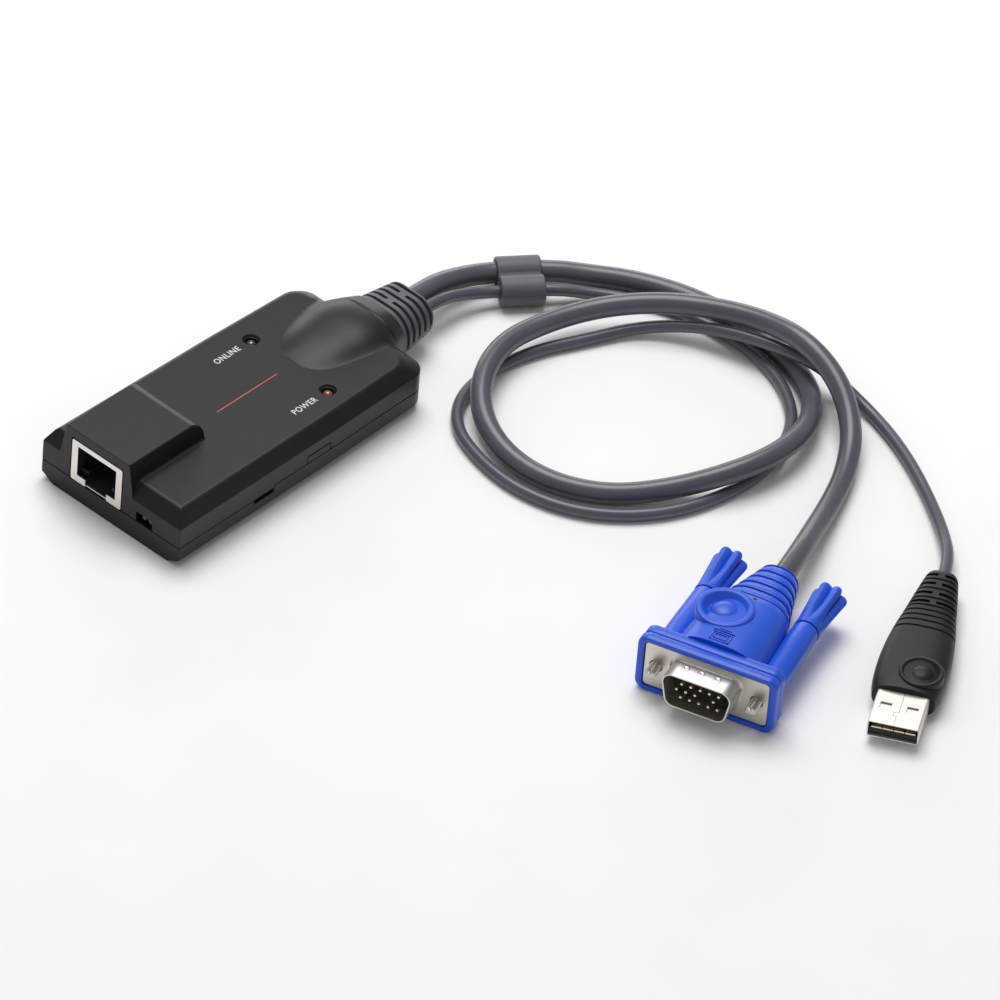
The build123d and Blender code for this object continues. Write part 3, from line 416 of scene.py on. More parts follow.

# %% [markdown]
# A piece that stands for a solid takes its place in every view and moves with the same body.
# These two belong together, so one helper does both.

# %% Standing for a solid
def body_with(node):
    """Name of the body that carries a node."""
    return frame["nodes"][node]["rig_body"]


def stands_for(piece, node):
    """The piece takes the place of a node and moves with its body."""
    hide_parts(node)
    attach(piece, body_with(node))
    return piece


# %% [markdown]
# A moulded edge is never knife sharp: the cutter that made the mould has a radius, and
# light catches on it as a thin line. A bump map can't give a lit edge, so the solids are
# copied and their edges rounded. The copy comes as many small flat facets. First they
# are joined again into whole faces. A face with two holes in it would then be filled
# wrongly once its edges are rounded, so such a face is divided by a line that runs
# across the holes, and the joining stops at that line.

# %% Dividing line
def divide(shape, height, x):
    """Divide the flat face at a height by a line across at x, so that no hole lies inside it."""
    flat = [
        face for face in shape.faces
        if all(abs(vert.co.z - height) < 0.002 * MM for vert in face.verts)
    ]
    parts = set(flat)
    for face in flat:
        parts.update(face.edges)
        parts.update(face.verts)
    made = bmesh.ops.bisect_plane(
        shape, geom=list(parts), dist=0.001 * MM, plane_co=(x, 0, 0), plane_no=(1, 0, 0)
    )
    for part in made["geom_cut"]:
        if isinstance(part, bmesh.types.BMEdge):
            part.seam = True


# %% Joined facets
def joined(mesh, lines):
    """Shape of a mesh with its flat facets joined, divided at lines of height and x."""
    shape = bmesh.new()
    shape.from_mesh(mesh)
    bmesh.ops.remove_doubles(shape, verts=shape.verts, dist=0.002 * MM)
    for height, x in lines:
        divide(shape, height, x)
    bmesh.ops.dissolve_limit(
        shape, angle_limit=math.radians(0.4), verts=shape.verts, edges=shape.edges,
        delimit={"SEAM"},
    )
    return shape


# %% [markdown]
# Now each sharp edge gets a narrow round. A few edges of the housing are much softer than
# the rest, so every edge carries a share of the widest round, which the bevel reads as a
# weight. Shading by the size of the faces keeps the flats flat beside their rounds.

# %% Rounds
def add_rounds(piece, width, segments):
    """Rounds of a width in millimetres on weighted edges, with even shading."""
    rounds = piece.modifiers.new("rounds", "BEVEL")
    rounds.width = width * MM
    rounds.segments = segments
    rounds.limit_method = "WEIGHT"
    rounds.use_clamp_overlap = False
    weights = piece.modifiers.new("even_shading", "WEIGHTED_NORMAL")
    weights.keep_sharp = True


# %% Softened solid
SHARP_TURN = math.radians(28)


def softened(node, width, share=None, segments=2, lines=(), shift=None):
    """Copy of a solid with rounds on its sharp edges, share(edge) of width on each."""
    mesh = frame["nodes"][node].data.copy()
    shape = joined(mesh, lines)
    if shift:
        for vert in shape.verts:
            vert.co = shift(vert.co)
    weight = shape.edges.layers.float.new("bevel_weight_edge")
    for edge in shape.edges:
        if edge.is_manifold and edge.calc_face_angle() > SHARP_TURN:
            edge[weight] = share(edge) if share else 1
    for face in shape.faces:
        face.smooth = True
    shape.to_mesh(mesh)
    shape.free()
    piece = bpy.data.objects.new(f"{node}_skin", mesh)
    scene.collection.objects.link(piece)
    add_rounds(piece, width, segments)
    print(piece.name, len(mesh.polygons), "faces")
    return stands_for(piece, node)


# %% [markdown]
# On the real housing the long edges of the top face are softer than the rest: they show
# as a broad pale band, not a line. The foot of the socket hump has a small hollow round
# too. Both are edges that lie in the plane of the top face, so they are picked by height.
# The lamp holes keep a fine edge, and the foot of the collar none, for it lies hidden.

# %% Softer edges of the top
TOP_HEIGHT = 15
LAMPS = ((13.7, 11.0, 0), (13.7, -13.5, 0))
SIDE = -0.8


def housing_share(edge):
    """Broad rounds along the top face, a hollow one at the hump, fine ones elsewhere."""
    heights = [vert.co.z for vert in edge.verts]
    middle = (edge.verts[0].co + edge.verts[1].co) / 2
    if max(abs(height - TOP_HEIGHT * MM) for height in heights) > 0.02 * MM:
        return 0.15
    near_lamp = min((middle.xy - Vector(lamp).xy * MM).length for lamp in LAMPS)
    if middle.x > 16 * MM and abs(middle.y - SIDE * MM) < 14 * MM:
        return 0
    if near_lamp < 3 * MM or middle.x > 40 * MM:
        return 0.12
    return 0.8 if edge.is_convex else 0.45


# %% [markdown]
# The measured collar is a plain loft of few faces. A smoother skin of its own will cover
# it, so the housing's copy of it is drawn in by a tenth towards its middle line and stays
# out of sight. Cutting it off would leave a hole to close by hand. Everything above the
# level top, or above the slope behind it, belongs to the collar.

# %% Collar drawn in
COLLAR_MIDDLE = 8.0
COLLAR_FIRST, COLLAR_FREE = 16, 39.95
SLOPE_START, SLOPE_DROP, SLOPE_RUN = 35.4, 3.8, 4.5


def ground_at(x):
    """Height of the housing under the collar: level first, then the slope behind."""
    return TOP_HEIGHT - max(0, x - SLOPE_START) * SLOPE_DROP / SLOPE_RUN


def under_collar(point):
    """Collar drawn in by a tenth, so that it stays under its own smoother skin."""
    x, y, z = point / MM
    if COLLAR_FIRST < x < COLLAR_FREE and z > ground_at(x) + 0.03 or x > COLLAR_FREE:
        inwards = (x, SIDE + 0.9 * (y - SIDE), COLLAR_MIDDLE + 0.9 * (z - COLLAR_MIDDLE))
        return Vector(inwards) * MM
    return point


# %% Shells
across_lamps = [(TOP_HEIGHT * MM, LAMPS[0][0] * MM)]
upper_skin = softened(
    "upper_shell", 1.2, housing_share, 3, across_lamps, under_collar
)
lower_skin = softened("lower_shell", 0.2)
shield_skin = softened("rj45_shield", 0.05)

# %% [markdown]
# Many pieces of this object are one closed skin over rings: the collar, the boot, the
# plugs' grips, the knobs and the screws. A ring is a row of points round the piece, and a
# skin joins each ring to the next. Subdivision would soften every groove, so the rings
# are placed exactly where a groove starts and ends.

# %% Skin over rings
def wrap(rings):
    """Points and faces of a closed skin over rings of equal count."""
    count = len(rings[0])
    points = [point for ring in rings for point in ring]
    faces = []
    for row in range(len(rings) - 1):
        for step in range(count):
            after = (step + 1) % count
            low, high = row * count, (row + 1) * count
            faces.append((low + step, low + after, high + after, high + step))
    faces.append(tuple(reversed(range(count))))
    faces.append(tuple(range(len(points) - count, len(points))))
    return points, faces


# %% Object of skins
def built(name, skins, material, sharp=38):
    """One object from several closed skins, smooth except at sharp folds."""
    shape = bmesh.new()
    for points, faces in skins:
        verts = [shape.verts.new(point) for point in points]
        for face in faces:
            shape.faces.new([verts[index] for index in face])
    bmesh.ops.recalc_face_normals(shape, faces=shape.faces)
    for face in shape.faces:
        face.smooth = True
    mesh = bpy.data.meshes.new(name)
    shape.to_mesh(mesh)
    shape.free()
    mesh.set_sharp_from_angle(angle=math.radians(sharp))
    mesh.materials.append(material)
    piece = bpy.data.objects.new(name, mesh)
    scene.collection.objects.link(piece)
    print(name, len(mesh.polygons), "faces")
    return piece


# %% [markdown]
# A long form such as a grip is known at a few places along it, and must run smoothly in
# between. Straight lines would show as bands in the gloss, and a plain spline would bulge
# past the measured values. Here each place has a slope that is the mean of the slopes on
# both sides, or none where they differ in sign, so the form never overshoots.

# %% Smooth tables
def mean_slope(one, other):
    """Mean of two slopes, none where the form turns."""
    return (one + other) / 2 if one * other > 0 else 0


def eased(table, place):
    """Smooth value between rows of place and value."""
    if place <= table[0][0]:
        return table[0][1]
    if place >= table[-1][0]:
        return table[-1][1]
    slopes = [(b[1] - a[1]) / (b[0] - a[0]) for a, b in zip(table, table[1:])]
    for row, (start, end) in enumerate(zip(table, table[1:])):
        if place <= end[0]:
            span = end[0] - start[0]
            share = (place - start[0]) / span
            leave = mean_slope(slopes[max(row - 1, 0)], slopes[row])
            reach = mean_slope(slopes[min(row + 1, len(slopes) - 1)], slopes[row])
            a = 2 * share**3 - 3 * share**2 + 1
            b = share**3 - 2 * share**2 + share
            c = share**3 - share**2
            return a * start[1] + (1 - a) * end[1] + span * (b * leave + c * reach)


# %% [markdown]
# The collar is the smooth spoon-shaped hump that carries the top of the housing over to
# the round boot. Its sections are ovals that grow out of the top face, and where they
# meet it the surface flares outwards in a small hollow, as a hand-blended mould does. A
# boolean union would leave a hard crease, so the flare is part of every ring.

# %% Collar tables
collar_half = [
    (15.2, 9.6), (17, 10.8), (20, 11.7), (24, 12.3), (28, 12.9), (32, 13.5),
    (35, 13.5), (38, 12.2), (40, 11.0), (42, 10.0), (44.1, 9.12),
]
collar_top = [
    (15.2, 15.06), (16.4, 15.45), (18, 15.9), (20.5, 16.4), (24, 16.95),
    (29, 17.45), (33.5, 17.75), (37, 17.55), (40, 17.0), (44.1, 15.68),
]
COLLAR_STEPS = 96
HOUSING_END = 39.9
FLARE = 1.1
print("collar", 2 * max(half for _, half in collar_half), "mm wide at most")


# %% Collar section
def flared(out, z, ground, flare):
    """Place across, pushed outwards by a hollow round near the ground."""
    above = max(0, min(flare, z - ground))
    return out + math.copysign(flare - math.sqrt(max(0, flare**2 - (flare - above) ** 2)), out)


def collar_ring(x):
    """Ring of the collar skin: oval above the housing, flared where it meets it."""
    half, tall = eased(collar_half, x), eased(collar_top, x) - COLLAR_MIDDLE
    power = 2.3 if x < 36 else 2.3 + 0.45 * (x - 36) / 8.1
    on_housing = x < HOUSING_END
    ground = ground_at(x) if on_housing else COLLAR_MIDDLE
    flare = FLARE if x < SLOPE_START else max(0.02, FLARE * (HOUSING_END - x) / SLOPE_RUN)
    rise = min(1, (ground - COLLAR_MIDDLE) / tall)
    start = math.asin(min(1, rise ** (power / 2)))
    ring = []
    for step in range(COLLAR_STEPS + 1):
        angle = start + (math.pi - 2 * start) * step / COLLAR_STEPS
        c, s = math.cos(angle), max(0, math.sin(angle))
        out = math.copysign(abs(c) ** (2 / power), c) * half
        z = COLLAR_MIDDLE + tall * s ** (2 / power)
        if on_housing:
            out = flared(out, z, ground, flare)
        ring.append(Vector((x, SIDE + out, z - (0.03 if on_housing else 0))) * MM)
    low, narrow = (ground - 0.8, 0.9) if on_housing else (6.35, 1)
    far = abs(ring[-1].y / MM - SIDE) * narrow
    near = abs(ring[0].y / MM - SIDE) * narrow
    ring += [Vector((x, SIDE - far, low)) * MM, Vector((x, SIDE + near, low)) * MM]
    return ring


# %% Collar hump
collar_places = [15.25 + 0.25 * step for step in range(8)]
collar_places += [17.4 + 0.6 * step for step in range(37)]
collar_places = [x for x in collar_places if x < 39.8]
collar_places += [39.88, 39.92, 40.5, 41.2, 42, 42.8, 43.5, 44.08]
collar_skin = built(
    "collar_skin", [wrap([collar_ring(x) for x in collar_places])], housing_black, sharp=50
)
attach(collar_skin, "adapter")

# %% [markdown]
# The boot is a ribbed grip of soft vinyl. Narrow slots let it bend: every other slot
# crosses the whole top, the ones between stop short in the middle, and a second row of
# short slots follows the lower flank. Each slot is a step inwards of the rings that lie
# in it, at those points of the ring where the slot is open. A ring of the boot is a
# rectangle with large round corners.

# %% Round-cornered section
def rounded_box(half, high, corner, arc=10, flat=10):
    """Points of a round-cornered rectangle, anticlockwise, evenly spread on flats."""
    points = []
    corners = ((1, 1), (-1, 1), (-1, -1), (1, -1))
    for turn, (across, up) in enumerate(corners):
        centre = Vector((across * (half - corner), up * (high - corner)))
        for step in range(arc + 1):
            angle = math.radians(90 * (turn + step / arc))
            points.append(centre + Vector((math.cos(angle), math.sin(angle))) * corner)
        start = points[-1]
        ahead = corners[(turn + 1) % 4]
        turned = math.radians(90 * (turn + 1))
        end = Vector((ahead[0] * (half - corner), ahead[1] * (high - corner)))
        end += Vector((math.cos(turned), math.sin(turned))) * corner
        for step in range(1, flat):
            points.append(start.lerp(end, step / flat))
    return points


# %% Grooves
def groove(place, start, width, edge=0.08):
    """How deep a groove is at a place, from 0 to 1, with narrow rounded lips."""
    inside = min(place - start, start + width - place)
    return max(0.0, min(1.0, inside / edge + 0.5))


def groove_places(start, width, edge=0.08):
    """Places of the rings that draw one groove."""
    end = start + width
    return [start - edge / 2, start, start + edge / 2, end - edge / 2, end, end + edge / 2]


# %% Section of the boot
SLOT, SLOT_DEEP = 0.95, 1.3
BOOT_START, BOOT_LONG = 44.1, 12.3
boot_slots = [1.5 + 2.2 * row for row in range(5)]


def slot_depth(d, across, rise):
    """Depth of the slots at d along the boot, at a place across and a rise over its foot."""
    cut = 0
    for row, start in enumerate(boot_slots):
        upper = rise > 5.0 and (row % 2 == 0 or abs(across) > 1.15)
        lower = 1.0 < rise < 3.2
        if upper or lower:
            cut = max(cut, groove(d, start, SLOT) * SLOT_DEEP)
    return cut


def boot_ring(d):
    """Ring of the boot at d behind the collar's rim."""
    share = d / BOOT_LONG
    top, foot = 15.15 - 1.65 * share, 0.95 + 2.05 * share
    rounding = 0.9 - math.sqrt(max(0, 0.81 - max(0, d - 11.4) ** 2))
    half, high = 8.75 - 1.45 * share - rounding, (top - foot) / 2 - rounding
    corner = 6.3 - 1.7 * share - rounding
    middle = (top + foot) / 2
    ring = []
    for point in rounded_box(half, high, corner, arc=20, flat=16):
        cut = slot_depth(d, point.x, middle + point.y - foot)
        inwards = point * (1 - cut / point.length)
        ring.append(Vector((BOOT_START + d, SIDE + inwards.x, middle + inwards.y)) * MM)
    return ring


# %% Boot and clip
boot_places = {-0.4, 0.0, 0.6, 1.1, 11.4, 11.7, 11.95, 12.15, 12.27}
for start in boot_slots:
    boot_places.update(groove_places(start, SLOT))
boot_skin = built(
    "boot_skin", [wrap([boot_ring(d) for d in sorted(boot_places)])], boot_grey, sharp=42
)
stands_for(boot_skin, "boot")
clip_skin = softened("cable_clip", 0.5, segments=3)

# %% [markdown]
# Two small lamps look out of funnels in the top: a clear one for the link and an amber
# one for power. A lens like that is a cylinder of tinted epoxy with a half ball on top.
# It is turned like a lathe piece, and its material is glossy and partly clear.

# %% Turned skin
def turns(steps):
    """Angles of equal steps once round."""
    return [2 * math.pi * step / steps for step in range(steps)]


def turned(profile, centre, steps=48):
    """Closed skin of a profile of radius and height, turned round an upright axis."""
    rings = []
    for radius, height in profile:
        rings.append([
            (Vector(centre) + Vector((radius * math.cos(a), radius * math.sin(a), height))) * MM
            for a in turns(steps)
        ])
    return wrap(rings)


# %% Lens epoxy
def lens(name, colour, depth, clear):
    """Tinted epoxy with faint cloudy streaks."""
    material = graded(name, colour, depth, 0.5, (0.06, 0.12), 0.001)
    shader = material.node_tree.nodes["Principled BSDF"]
    shader.inputs["Transmission Weight"].default_value = clear
    shader.inputs["Coat Weight"].default_value = 1
    return material


clear_lens = lens("clear_lens", (0.05, 0.048, 0.05), (0.07, 0.066, 0.068), 0.35)
amber_lens = lens("amber_lens", (0.2, 0.055, 0.012), (0.3, 0.09, 0.02), 0.3)

# %% Lamps
LENS_RADIUS, LENS_TOP = 1.47, 13.02
dome = [
    (LENS_RADIUS * math.cos(math.radians(a)), LENS_TOP + LENS_RADIUS * math.sin(math.radians(a)))
    for a in range(0, 88, 6)
]
foot = [(1.85, 9.35), (1.88, 10.2), (LENS_RADIUS, 10.25), (LENS_RADIUS, 12.0)]
lamp_profile = foot + dome + [(0.02, 14.49)]
link_lamp = built("link_lens", [turned(lamp_profile, LAMPS[0])], clear_lens)
power_lamp = built("power_lens", [turned(lamp_profile, LAMPS[1])], amber_lens)
stands_for(link_lamp, "link_lamp")
stands_for(power_lamp, "power_lamp")

# %% [markdown]
# Each lamp has its word beside it in small white pad-printed letters, and a thin orange
# rule crosses the middle of the top. Ink is a film a hundredth of a millimetre thick.
# Text curves turned into a mesh give clean letters that lie just on the plastic.

# %% Inks
white_ink = graded(
    "white_ink", (0.62, 0.62, 0.62), (0.72, 0.72, 0.72), 0.12, (0.5, 0.65), 0.002
)
orange_ink = graded(
    "orange_ink", (0.45, 0.085, 0.018), (0.55, 0.11, 0.025), 0.12, (0.5, 0.65), 0.002
)


# %% Letters as a mesh
def letters(word, size):
    """Flat mesh of a word, its right end and middle line at the origin."""
    text = bpy.data.curves.new(word.lower(), "FONT")
    text.body = word
    text.size = size * MM
    text.offset = 0.035 * MM
    text.extrude = 0.008 * MM
    text.align_x = "RIGHT"
    text.align_y = "CENTER"
    text.space_character = 1.12
    held = bpy.data.objects.new(word.lower(), text)
    scene.collection.objects.link(held)
    bpy.context.view_layer.update()
    depsgraph = bpy.context.evaluated_depsgraph_get()
    mesh = bpy.data.meshes.new_from_object(held.evaluated_get(depsgraph))
    bpy.data.objects.remove(held)
    return mesh


# %% Printed words
INK_HEIGHT, NARROWED = 15.008, 0.86


def printed(word, right, middle, size):
    """Word in ink on the top face, its right end and middle line given."""
    mesh = letters(word, size)
    place = Matrix.Translation((right * MM, middle * MM, INK_HEIGHT * MM))
    mesh.transform(place @ Matrix.Diagonal((NARROWED, 1, 1, 1)))
    mesh.materials.clear()
    mesh.materials.append(white_ink)
    piece = bpy.data.objects.new(f"word_{word.lower()}", mesh)
    scene.collection.objects.link(piece)
    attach(piece, "adapter")
    width = max(v.co.x for v in mesh.vertices) - min(v.co.x for v in mesh.vertices)
    print(word, round(width / MM, 1), "mm wide")
    return piece


online_word = printed("ONLINE", right=9.5, middle=10.9, size=2.4)
power_word = printed("POWER", right=9.3, middle=-13.8, size=2.4)


# %% Printed rule
def slab(low, high):
    """Closed block between two corners, in millimetres."""
    x0, y0, z0 = low
    x1, y1, z1 = high
    outline = ((x0, y0), (x1, y0), (x1, y1), (x0, y1))
    return wrap([[Vector((x, y, z)) * MM for x, y in outline] for z in (z0, z1)])


rule = built("printed_rule", [slab((-11.0, -1.65, 14.995), (9.1, -1.38, 15.015))], orange_ink)
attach(rule, "adapter")

# %% [markdown]
# Both plugs lie turned on the table, so their points are worked out in the plug's own
# directions, across, back along the cord and up, and then placed. Writing each plug in
# the middle of the room and rotating the object would also do, but the pieces must keep
# their origin where the frame has it.

# %% Places on a plug
def plug_at(origin, heading):
    """Function from across, back and up in a plug to a place in the room."""
    a = math.radians(heading)
    across = Vector((math.cos(a), math.sin(a), 0))
    back = Vector((-math.sin(a), math.cos(a), 0))
    start = Vector(origin)

    def place(side, behind, up):
        return (start + across * side + back * behind + Vector((0, 0, up))) * MM

    return place


video = plug_at((8.1, -136.9, 7.8), -72.5)
serial = plug_at((30.2, -174.3, 4.0), -60.8)
print("plug faces at", video(0, 0, 0)[:], serial(0, 0, 0)[:])


# %% Ovals
def egg(half, tall, power, steps):
    """Points of an oval, fuller than an ellipse when power is over two."""
    points = []
    for a in turns(steps):
        c, s = math.cos(a), math.sin(a)
        reach = (abs(c / half) ** power + abs(s / tall) ** power) ** (-1 / power)
        points.append(Vector((reach * c, reach * s)))
    return points


# %% [markdown]
# The front of the video plug's hood is a frame round the metal flange, then a narrow
# groove, then a second tier. Its rings are round-cornered rectangles. They start on the
# floor of the frame, come forward, turn over the lip and run back over groove and tier.

# %% Frame of the hood
hood_rows = [
    (1.02, 15.55, 6.4, 1.1), (-0.2, 15.55, 6.4, 1.1), (-0.42, 15.62, 6.47, 1.15),
    (-0.5, 15.8, 6.65, 1.3), (-0.5, 16.7, 7.2, 2.0), (-0.36, 17.1, 7.6, 2.35),
    (-0.05, 17.28, 7.78, 2.5), (1.7, 17.3, 7.8, 2.5), (1.95, 17.15, 7.65, 2.4),
    (2.08, 16.7, 7.2, 2.1), (2.3, 16.7, 7.2, 2.1), (2.42, 16.95, 7.45, 2.3),
    (2.7, 17.1, 7.6, 2.4), (4.7, 17.1, 7.6, 2.4), (5.05, 16.9, 7.4, 2.3),
    (5.2, 16.4, 6.9, 2.0),
]
hood_frame = wrap([
    [video(p.x, d, p.y) for p in rounded_box(half, tall, corner, arc=8, flat=3)]
    for d, half, tall, corner in hood_rows
])
print("frame of the hood", len(hood_frame[1]), "faces")

# %% [markdown]
# Behind the tier a crowned body narrows to the cord. It ends in five ribs that overlap
# like scales, so the relief can bend. Each rib is a sawtooth: the ring swells slowly
# towards the cord and then drops at once. The body is higher above the middle than below
# it, so its upper and lower halves have a table each.

# %% Body tables
body_half = [
    (4.6, 10.9), (11, 10.7), (18, 10.1), (24, 9.3), (29, 8.0), (34, 6.6), (38.5, 5.4), (41, 4.9),
]
body_high = [
    (4.6, 8.75), (11, 8.6), (18, 8.1), (24, 7.4), (29, 6.5), (34, 5.7), (38.5, 4.95), (41, 4.6),
]
body_low = [
    (4.6, 7.7), (11, 7.7), (18, 7.5), (24, 7.0), (29, 6.2), (34, 5.5), (38.5, 4.9), (41, 4.6),
]
body_power = [(4.6, 3.0), (22, 2.9), (41, 2.3)]
print("body of the hood", 2 * body_half[0][1], "mm wide at the frame")


# %% Body section
def body_ring(d, inset=0.0):
    """Ring of the body at d behind the flange's face, drawn in by inset."""
    half, power = eased(body_half, d), eased(body_power, d)
    high, low = eased(body_high, d), eased(body_low, d)
    ring = []
    for point in egg(half, 1.0, power, 132):
        tall = high if point.y > 0 else low
        reach = abs(point.x / half) ** power
        up = math.copysign(tall * max(0, 1 - reach) ** (1 / power), point.y)
        spot = Vector((point.x, up))
        spot *= max(0.05, 1 - inset / max(spot.length, 0.1))
        ring.append(video(spot.x, d, spot.y))
    return ring


# %% Body and ribs of the hood
RIBS, RIB_START, RIB_STEP, RIB_RISE = 5, 25.6, 2.95, 0.62
rib_profile = (
    (0.0, RIB_RISE), (0.05, RIB_RISE), (0.1, 0.12), (0.16, 0.0), (0.5, 0.05), (0.85, 0.18),
    (0.94, 0.3), (0.99, RIB_RISE),
)
body_rings = [body_ring(d) for d in [4.7, 6] + [7 + 1.5 * step for step in range(12)] + [25.3]]
body_rings.append(body_ring(25.5, 0.15))
for rib in range(RIBS):
    start = RIB_START + rib * RIB_STEP
    body_rings += [body_ring(start + share * RIB_STEP, inset) for share, inset in rib_profile]
end_profile = ((40.45, 0.1), (40.7, 0.2), (40.88, 0.5), (40.98, 1.0))
body_rings += [body_ring(d, inset) for d, inset in end_profile]
hood_body = wrap(body_rings)
print("body of the hood", len(body_rings), "rings")

# %% [markdown]
# The lock screws run through two sleeves, and a round pad with a dish and a low dome
# gives the thumb a place. Sleeves are tapered rings along the plug. The pad is turned on
# an upright axis, from the outside of its rim over the dish to the dome.

# %% Sleeves
SCREWS = (-12.495, 12.495)
sleeve_profile = (
    (4.8, 3.75), (5.3, 3.6), (6.2, 3.48), (14, 3.4), (27.2, 3.12), (27.5, 3.02), (27.6, 2.8),
)


def about_screw(side, d, radius, angle):
    """Place at a radius and an angle round a screw's axis."""
    return video(side + radius * math.cos(angle), d, radius * math.sin(angle))


def round_ring(side, d, radius, steps=56):
    """Circle round a screw's axis."""
    return [about_screw(side, d, radius, a) for a in turns(steps)]


sleeves = [wrap([round_ring(side, d, r) for d, r in sleeve_profile]) for side in SCREWS]
print("sleeves", SCREWS[1] - SCREWS[0], "mm apart")


# %% Thumb pad
def pad(place, side, behind, profile, steps=72):
    """Closed skin of a profile of radius and height over an axis that stands on a plug."""
    rings = []
    for radius, up in profile:
        rings.append([
            place(side + radius * math.cos(a), behind + radius * math.sin(a), up)
            for a in turns(steps)
        ])
    return wrap(rings)


thumb_profile = [
    (6.9, 3.0), (6.9, 8.2), (6.82, 8.6), (6.6, 8.82), (6.3, 8.9), (5.75, 8.9), (5.45, 8.82),
    (5.2, 8.6), (4.7, 7.9), (4.2, 7.35), (3.85, 7.1), (3.6, 7.12), (3.45, 7.35), (3.2, 7.8),
    (2.75, 8.22), (2.1, 8.55), (1.4, 8.75), (0.7, 8.86), (0.02, 8.9),
]
thumb_pad = pad(video, -3.6, 17.0, thumb_profile)

# %% Hood
hood_skin = built("hood_skin", [hood_frame, hood_body, thumb_pad] + sleeves, plug_blue, sharp=40)
stands_for(hood_skin, "vga_hood")

# %% [markdown]
# In front of the pad a small picture of a screen stands proud of the plastic by a tenth
# of a millimetre. It is drawn with thin bars that sit on the crown of the body. Behind
# the pad a small round mark shows where the plastic was let into the mould.

# %% Thin bars
BAR_FOOT, BAR_TOP = 8.3, 8.94


def bar(side0, behind0, side1, behind1, width, top=BAR_TOP):
    """Thin raised bar between two points on the plug."""
    start, end = Vector((side0, behind0)), Vector((side1, behind1))
    along = (end - start).normalized() * width / 2
    out = Vector((-along.y, along.x))
    outline = [start - along - out, end + along - out, end + along + out, start - along + out]
    return wrap([[video(p.x, p.y, z) for p in outline] for z in (BAR_FOOT, top)])


def frame_bars(side, behind, half, deep, width):
    """Four bars round a rectangle."""
    a, b, c, e = side - half, side + half, behind - deep, behind + deep
    corners = [(a, c), (b, c), (b, e), (a, e)]
    return [bar(*corners[turn], *corners[(turn + 1) % 4], width) for turn in range(4)]


# %% Raised screen mark
mark_bars = frame_bars(-0.2, 7.0, 2.2, 1.4, 0.26) + frame_bars(-0.2, 7.0, 1.5, 0.75, 0.2)
mark_bars += [bar(-2.6, 9.1, 2.3, 9.1, 0.26), bar(-1.5, 9.75, 1.2, 9.75, 0.24, top=8.92)]
screen_mark = built("screen_mark", mark_bars, plug_blue)
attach(screen_mark, "adapter")
gate_profile = [(0.5, 7.0), (0.5, 7.42), (0.02, 7.43)]
gate_mark = built("gate_mark", [pad(video, 0.6, 24.2, gate_profile, steps=16)], insulator_and_shade_black)
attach(gate_mark, "adapter")

# %% [markdown]
# The video shell is pressed from plated sheet: a flange with a D-shaped shell drawn out
# of it. Its root has a small hollow round, and three low dimples on top grip the other
# half. The solid is kept with finer edges, and root and dimples are added to it.

# %% Video shell
shell_skin = softened("vga_shell", 0.12)


# %% Round of a corner
def corner_round(here, before, after, radius, steps=12):
    """Points of the round in a corner, between the directions to its two neighbours."""
    middle = (before + after).normalized()
    reach = radius / math.sin(before.angle(after) / 2)
    centre = here + middle * reach
    start = here + before * (before.dot(centre - here)) - centre
    end = here + after * (after.dot(centre - here)) - centre
    first, last = math.atan2(start.y, start.x), math.atan2(end.y, end.x)
    if last < first:
        last += 2 * math.pi
    points = []
    for step in range(steps + 1):
        a = first + (last - first) * step / steps
        points.append(centre + Vector((math.cos(a), math.sin(a))) * radius)
    return points


def d_ring(d, grow):
    """Ring round the D-shaped shell, grown outwards."""
    lean = math.tan(math.radians(10))
    top, high = 9.0 + grow, 4.65 + grow
    low = top - lean * 9.3
    outline = [Vector(p) for p in ((-top, high), (-low, -high), (low, -high), (top, high))]
    points = []
    for turn, here in enumerate(outline):
        before = (outline[turn - 1] - here).normalized()
        after = (outline[(turn + 1) % 4] - here).normalized()
        points += corner_round(here, before, after, 2.6 + grow)
    return [video(p.x, d, p.y) for p in points]


# %% Root and dimples of the shell
root_profile = (
    (0.02, 0.75), (-0.1, 0.5), (-0.25, 0.26), (-0.45, 0.1), (-0.75, 0.02), (-0.75, -0.1),
    (0.02, -0.1),
)
dimple_profile = [
    (0.95, 4.4), (0.95, 4.66), (0.8, 4.76), (0.55, 4.8), (0.42, 4.74), (0.3, 4.66), (0.02, 4.64),
]
root = wrap([d_ring(d, grow) for d, grow in root_profile])
dimples = [pad(video, side, -2.3, dimple_profile, steps=28) for side in (-4.3, -0.5, 3.5)]
shell_root = built("shell_root", [root] + dimples, shell_plate, sharp=45)
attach(shell_root, "adapter")
pins_skin = softened("vga_pins", 0.24, segments=3)

# %% [markdown]
# A lock screw is steel with a rolled thread of forty turns to the inch. Its thread is a
# real helix: on every ring the radius follows a wave that moves round by one turn for
# each step of the pitch. A groove in a bump map would look flat at the screw's outline.

# %% Thread
PITCH, THREAD_RADIUS, THREAD_DEEP = 0.635, 1.41, 0.42


def thread_ring(side, d, major, steps=40):
    """Ring of a threaded tip."""
    ring = []
    for step in range(steps):
        turn = step / steps
        wave = abs(((d / PITCH - turn) % 1) * 2 - 1)
        radius = major - THREAD_DEEP * max(0, min(1, 1.3 * wave - 0.15))
        ring.append(about_screw(side, d, radius, 2 * math.pi * turn))
    return ring


def screw_rings(side):
    """Rings of a lock screw: pointed tip, thread and plain shank."""
    tip = [thread_ring(side, -3.78, 0.95), thread_ring(side, -3.6, 1.2)]
    tip += [thread_ring(side, -3.5 + PITCH / 8 * step, THREAD_RADIUS) for step in range(58)]
    return tip + [round_ring(side, d, 1.2, steps=40) for d in (1.15, 27.9)]


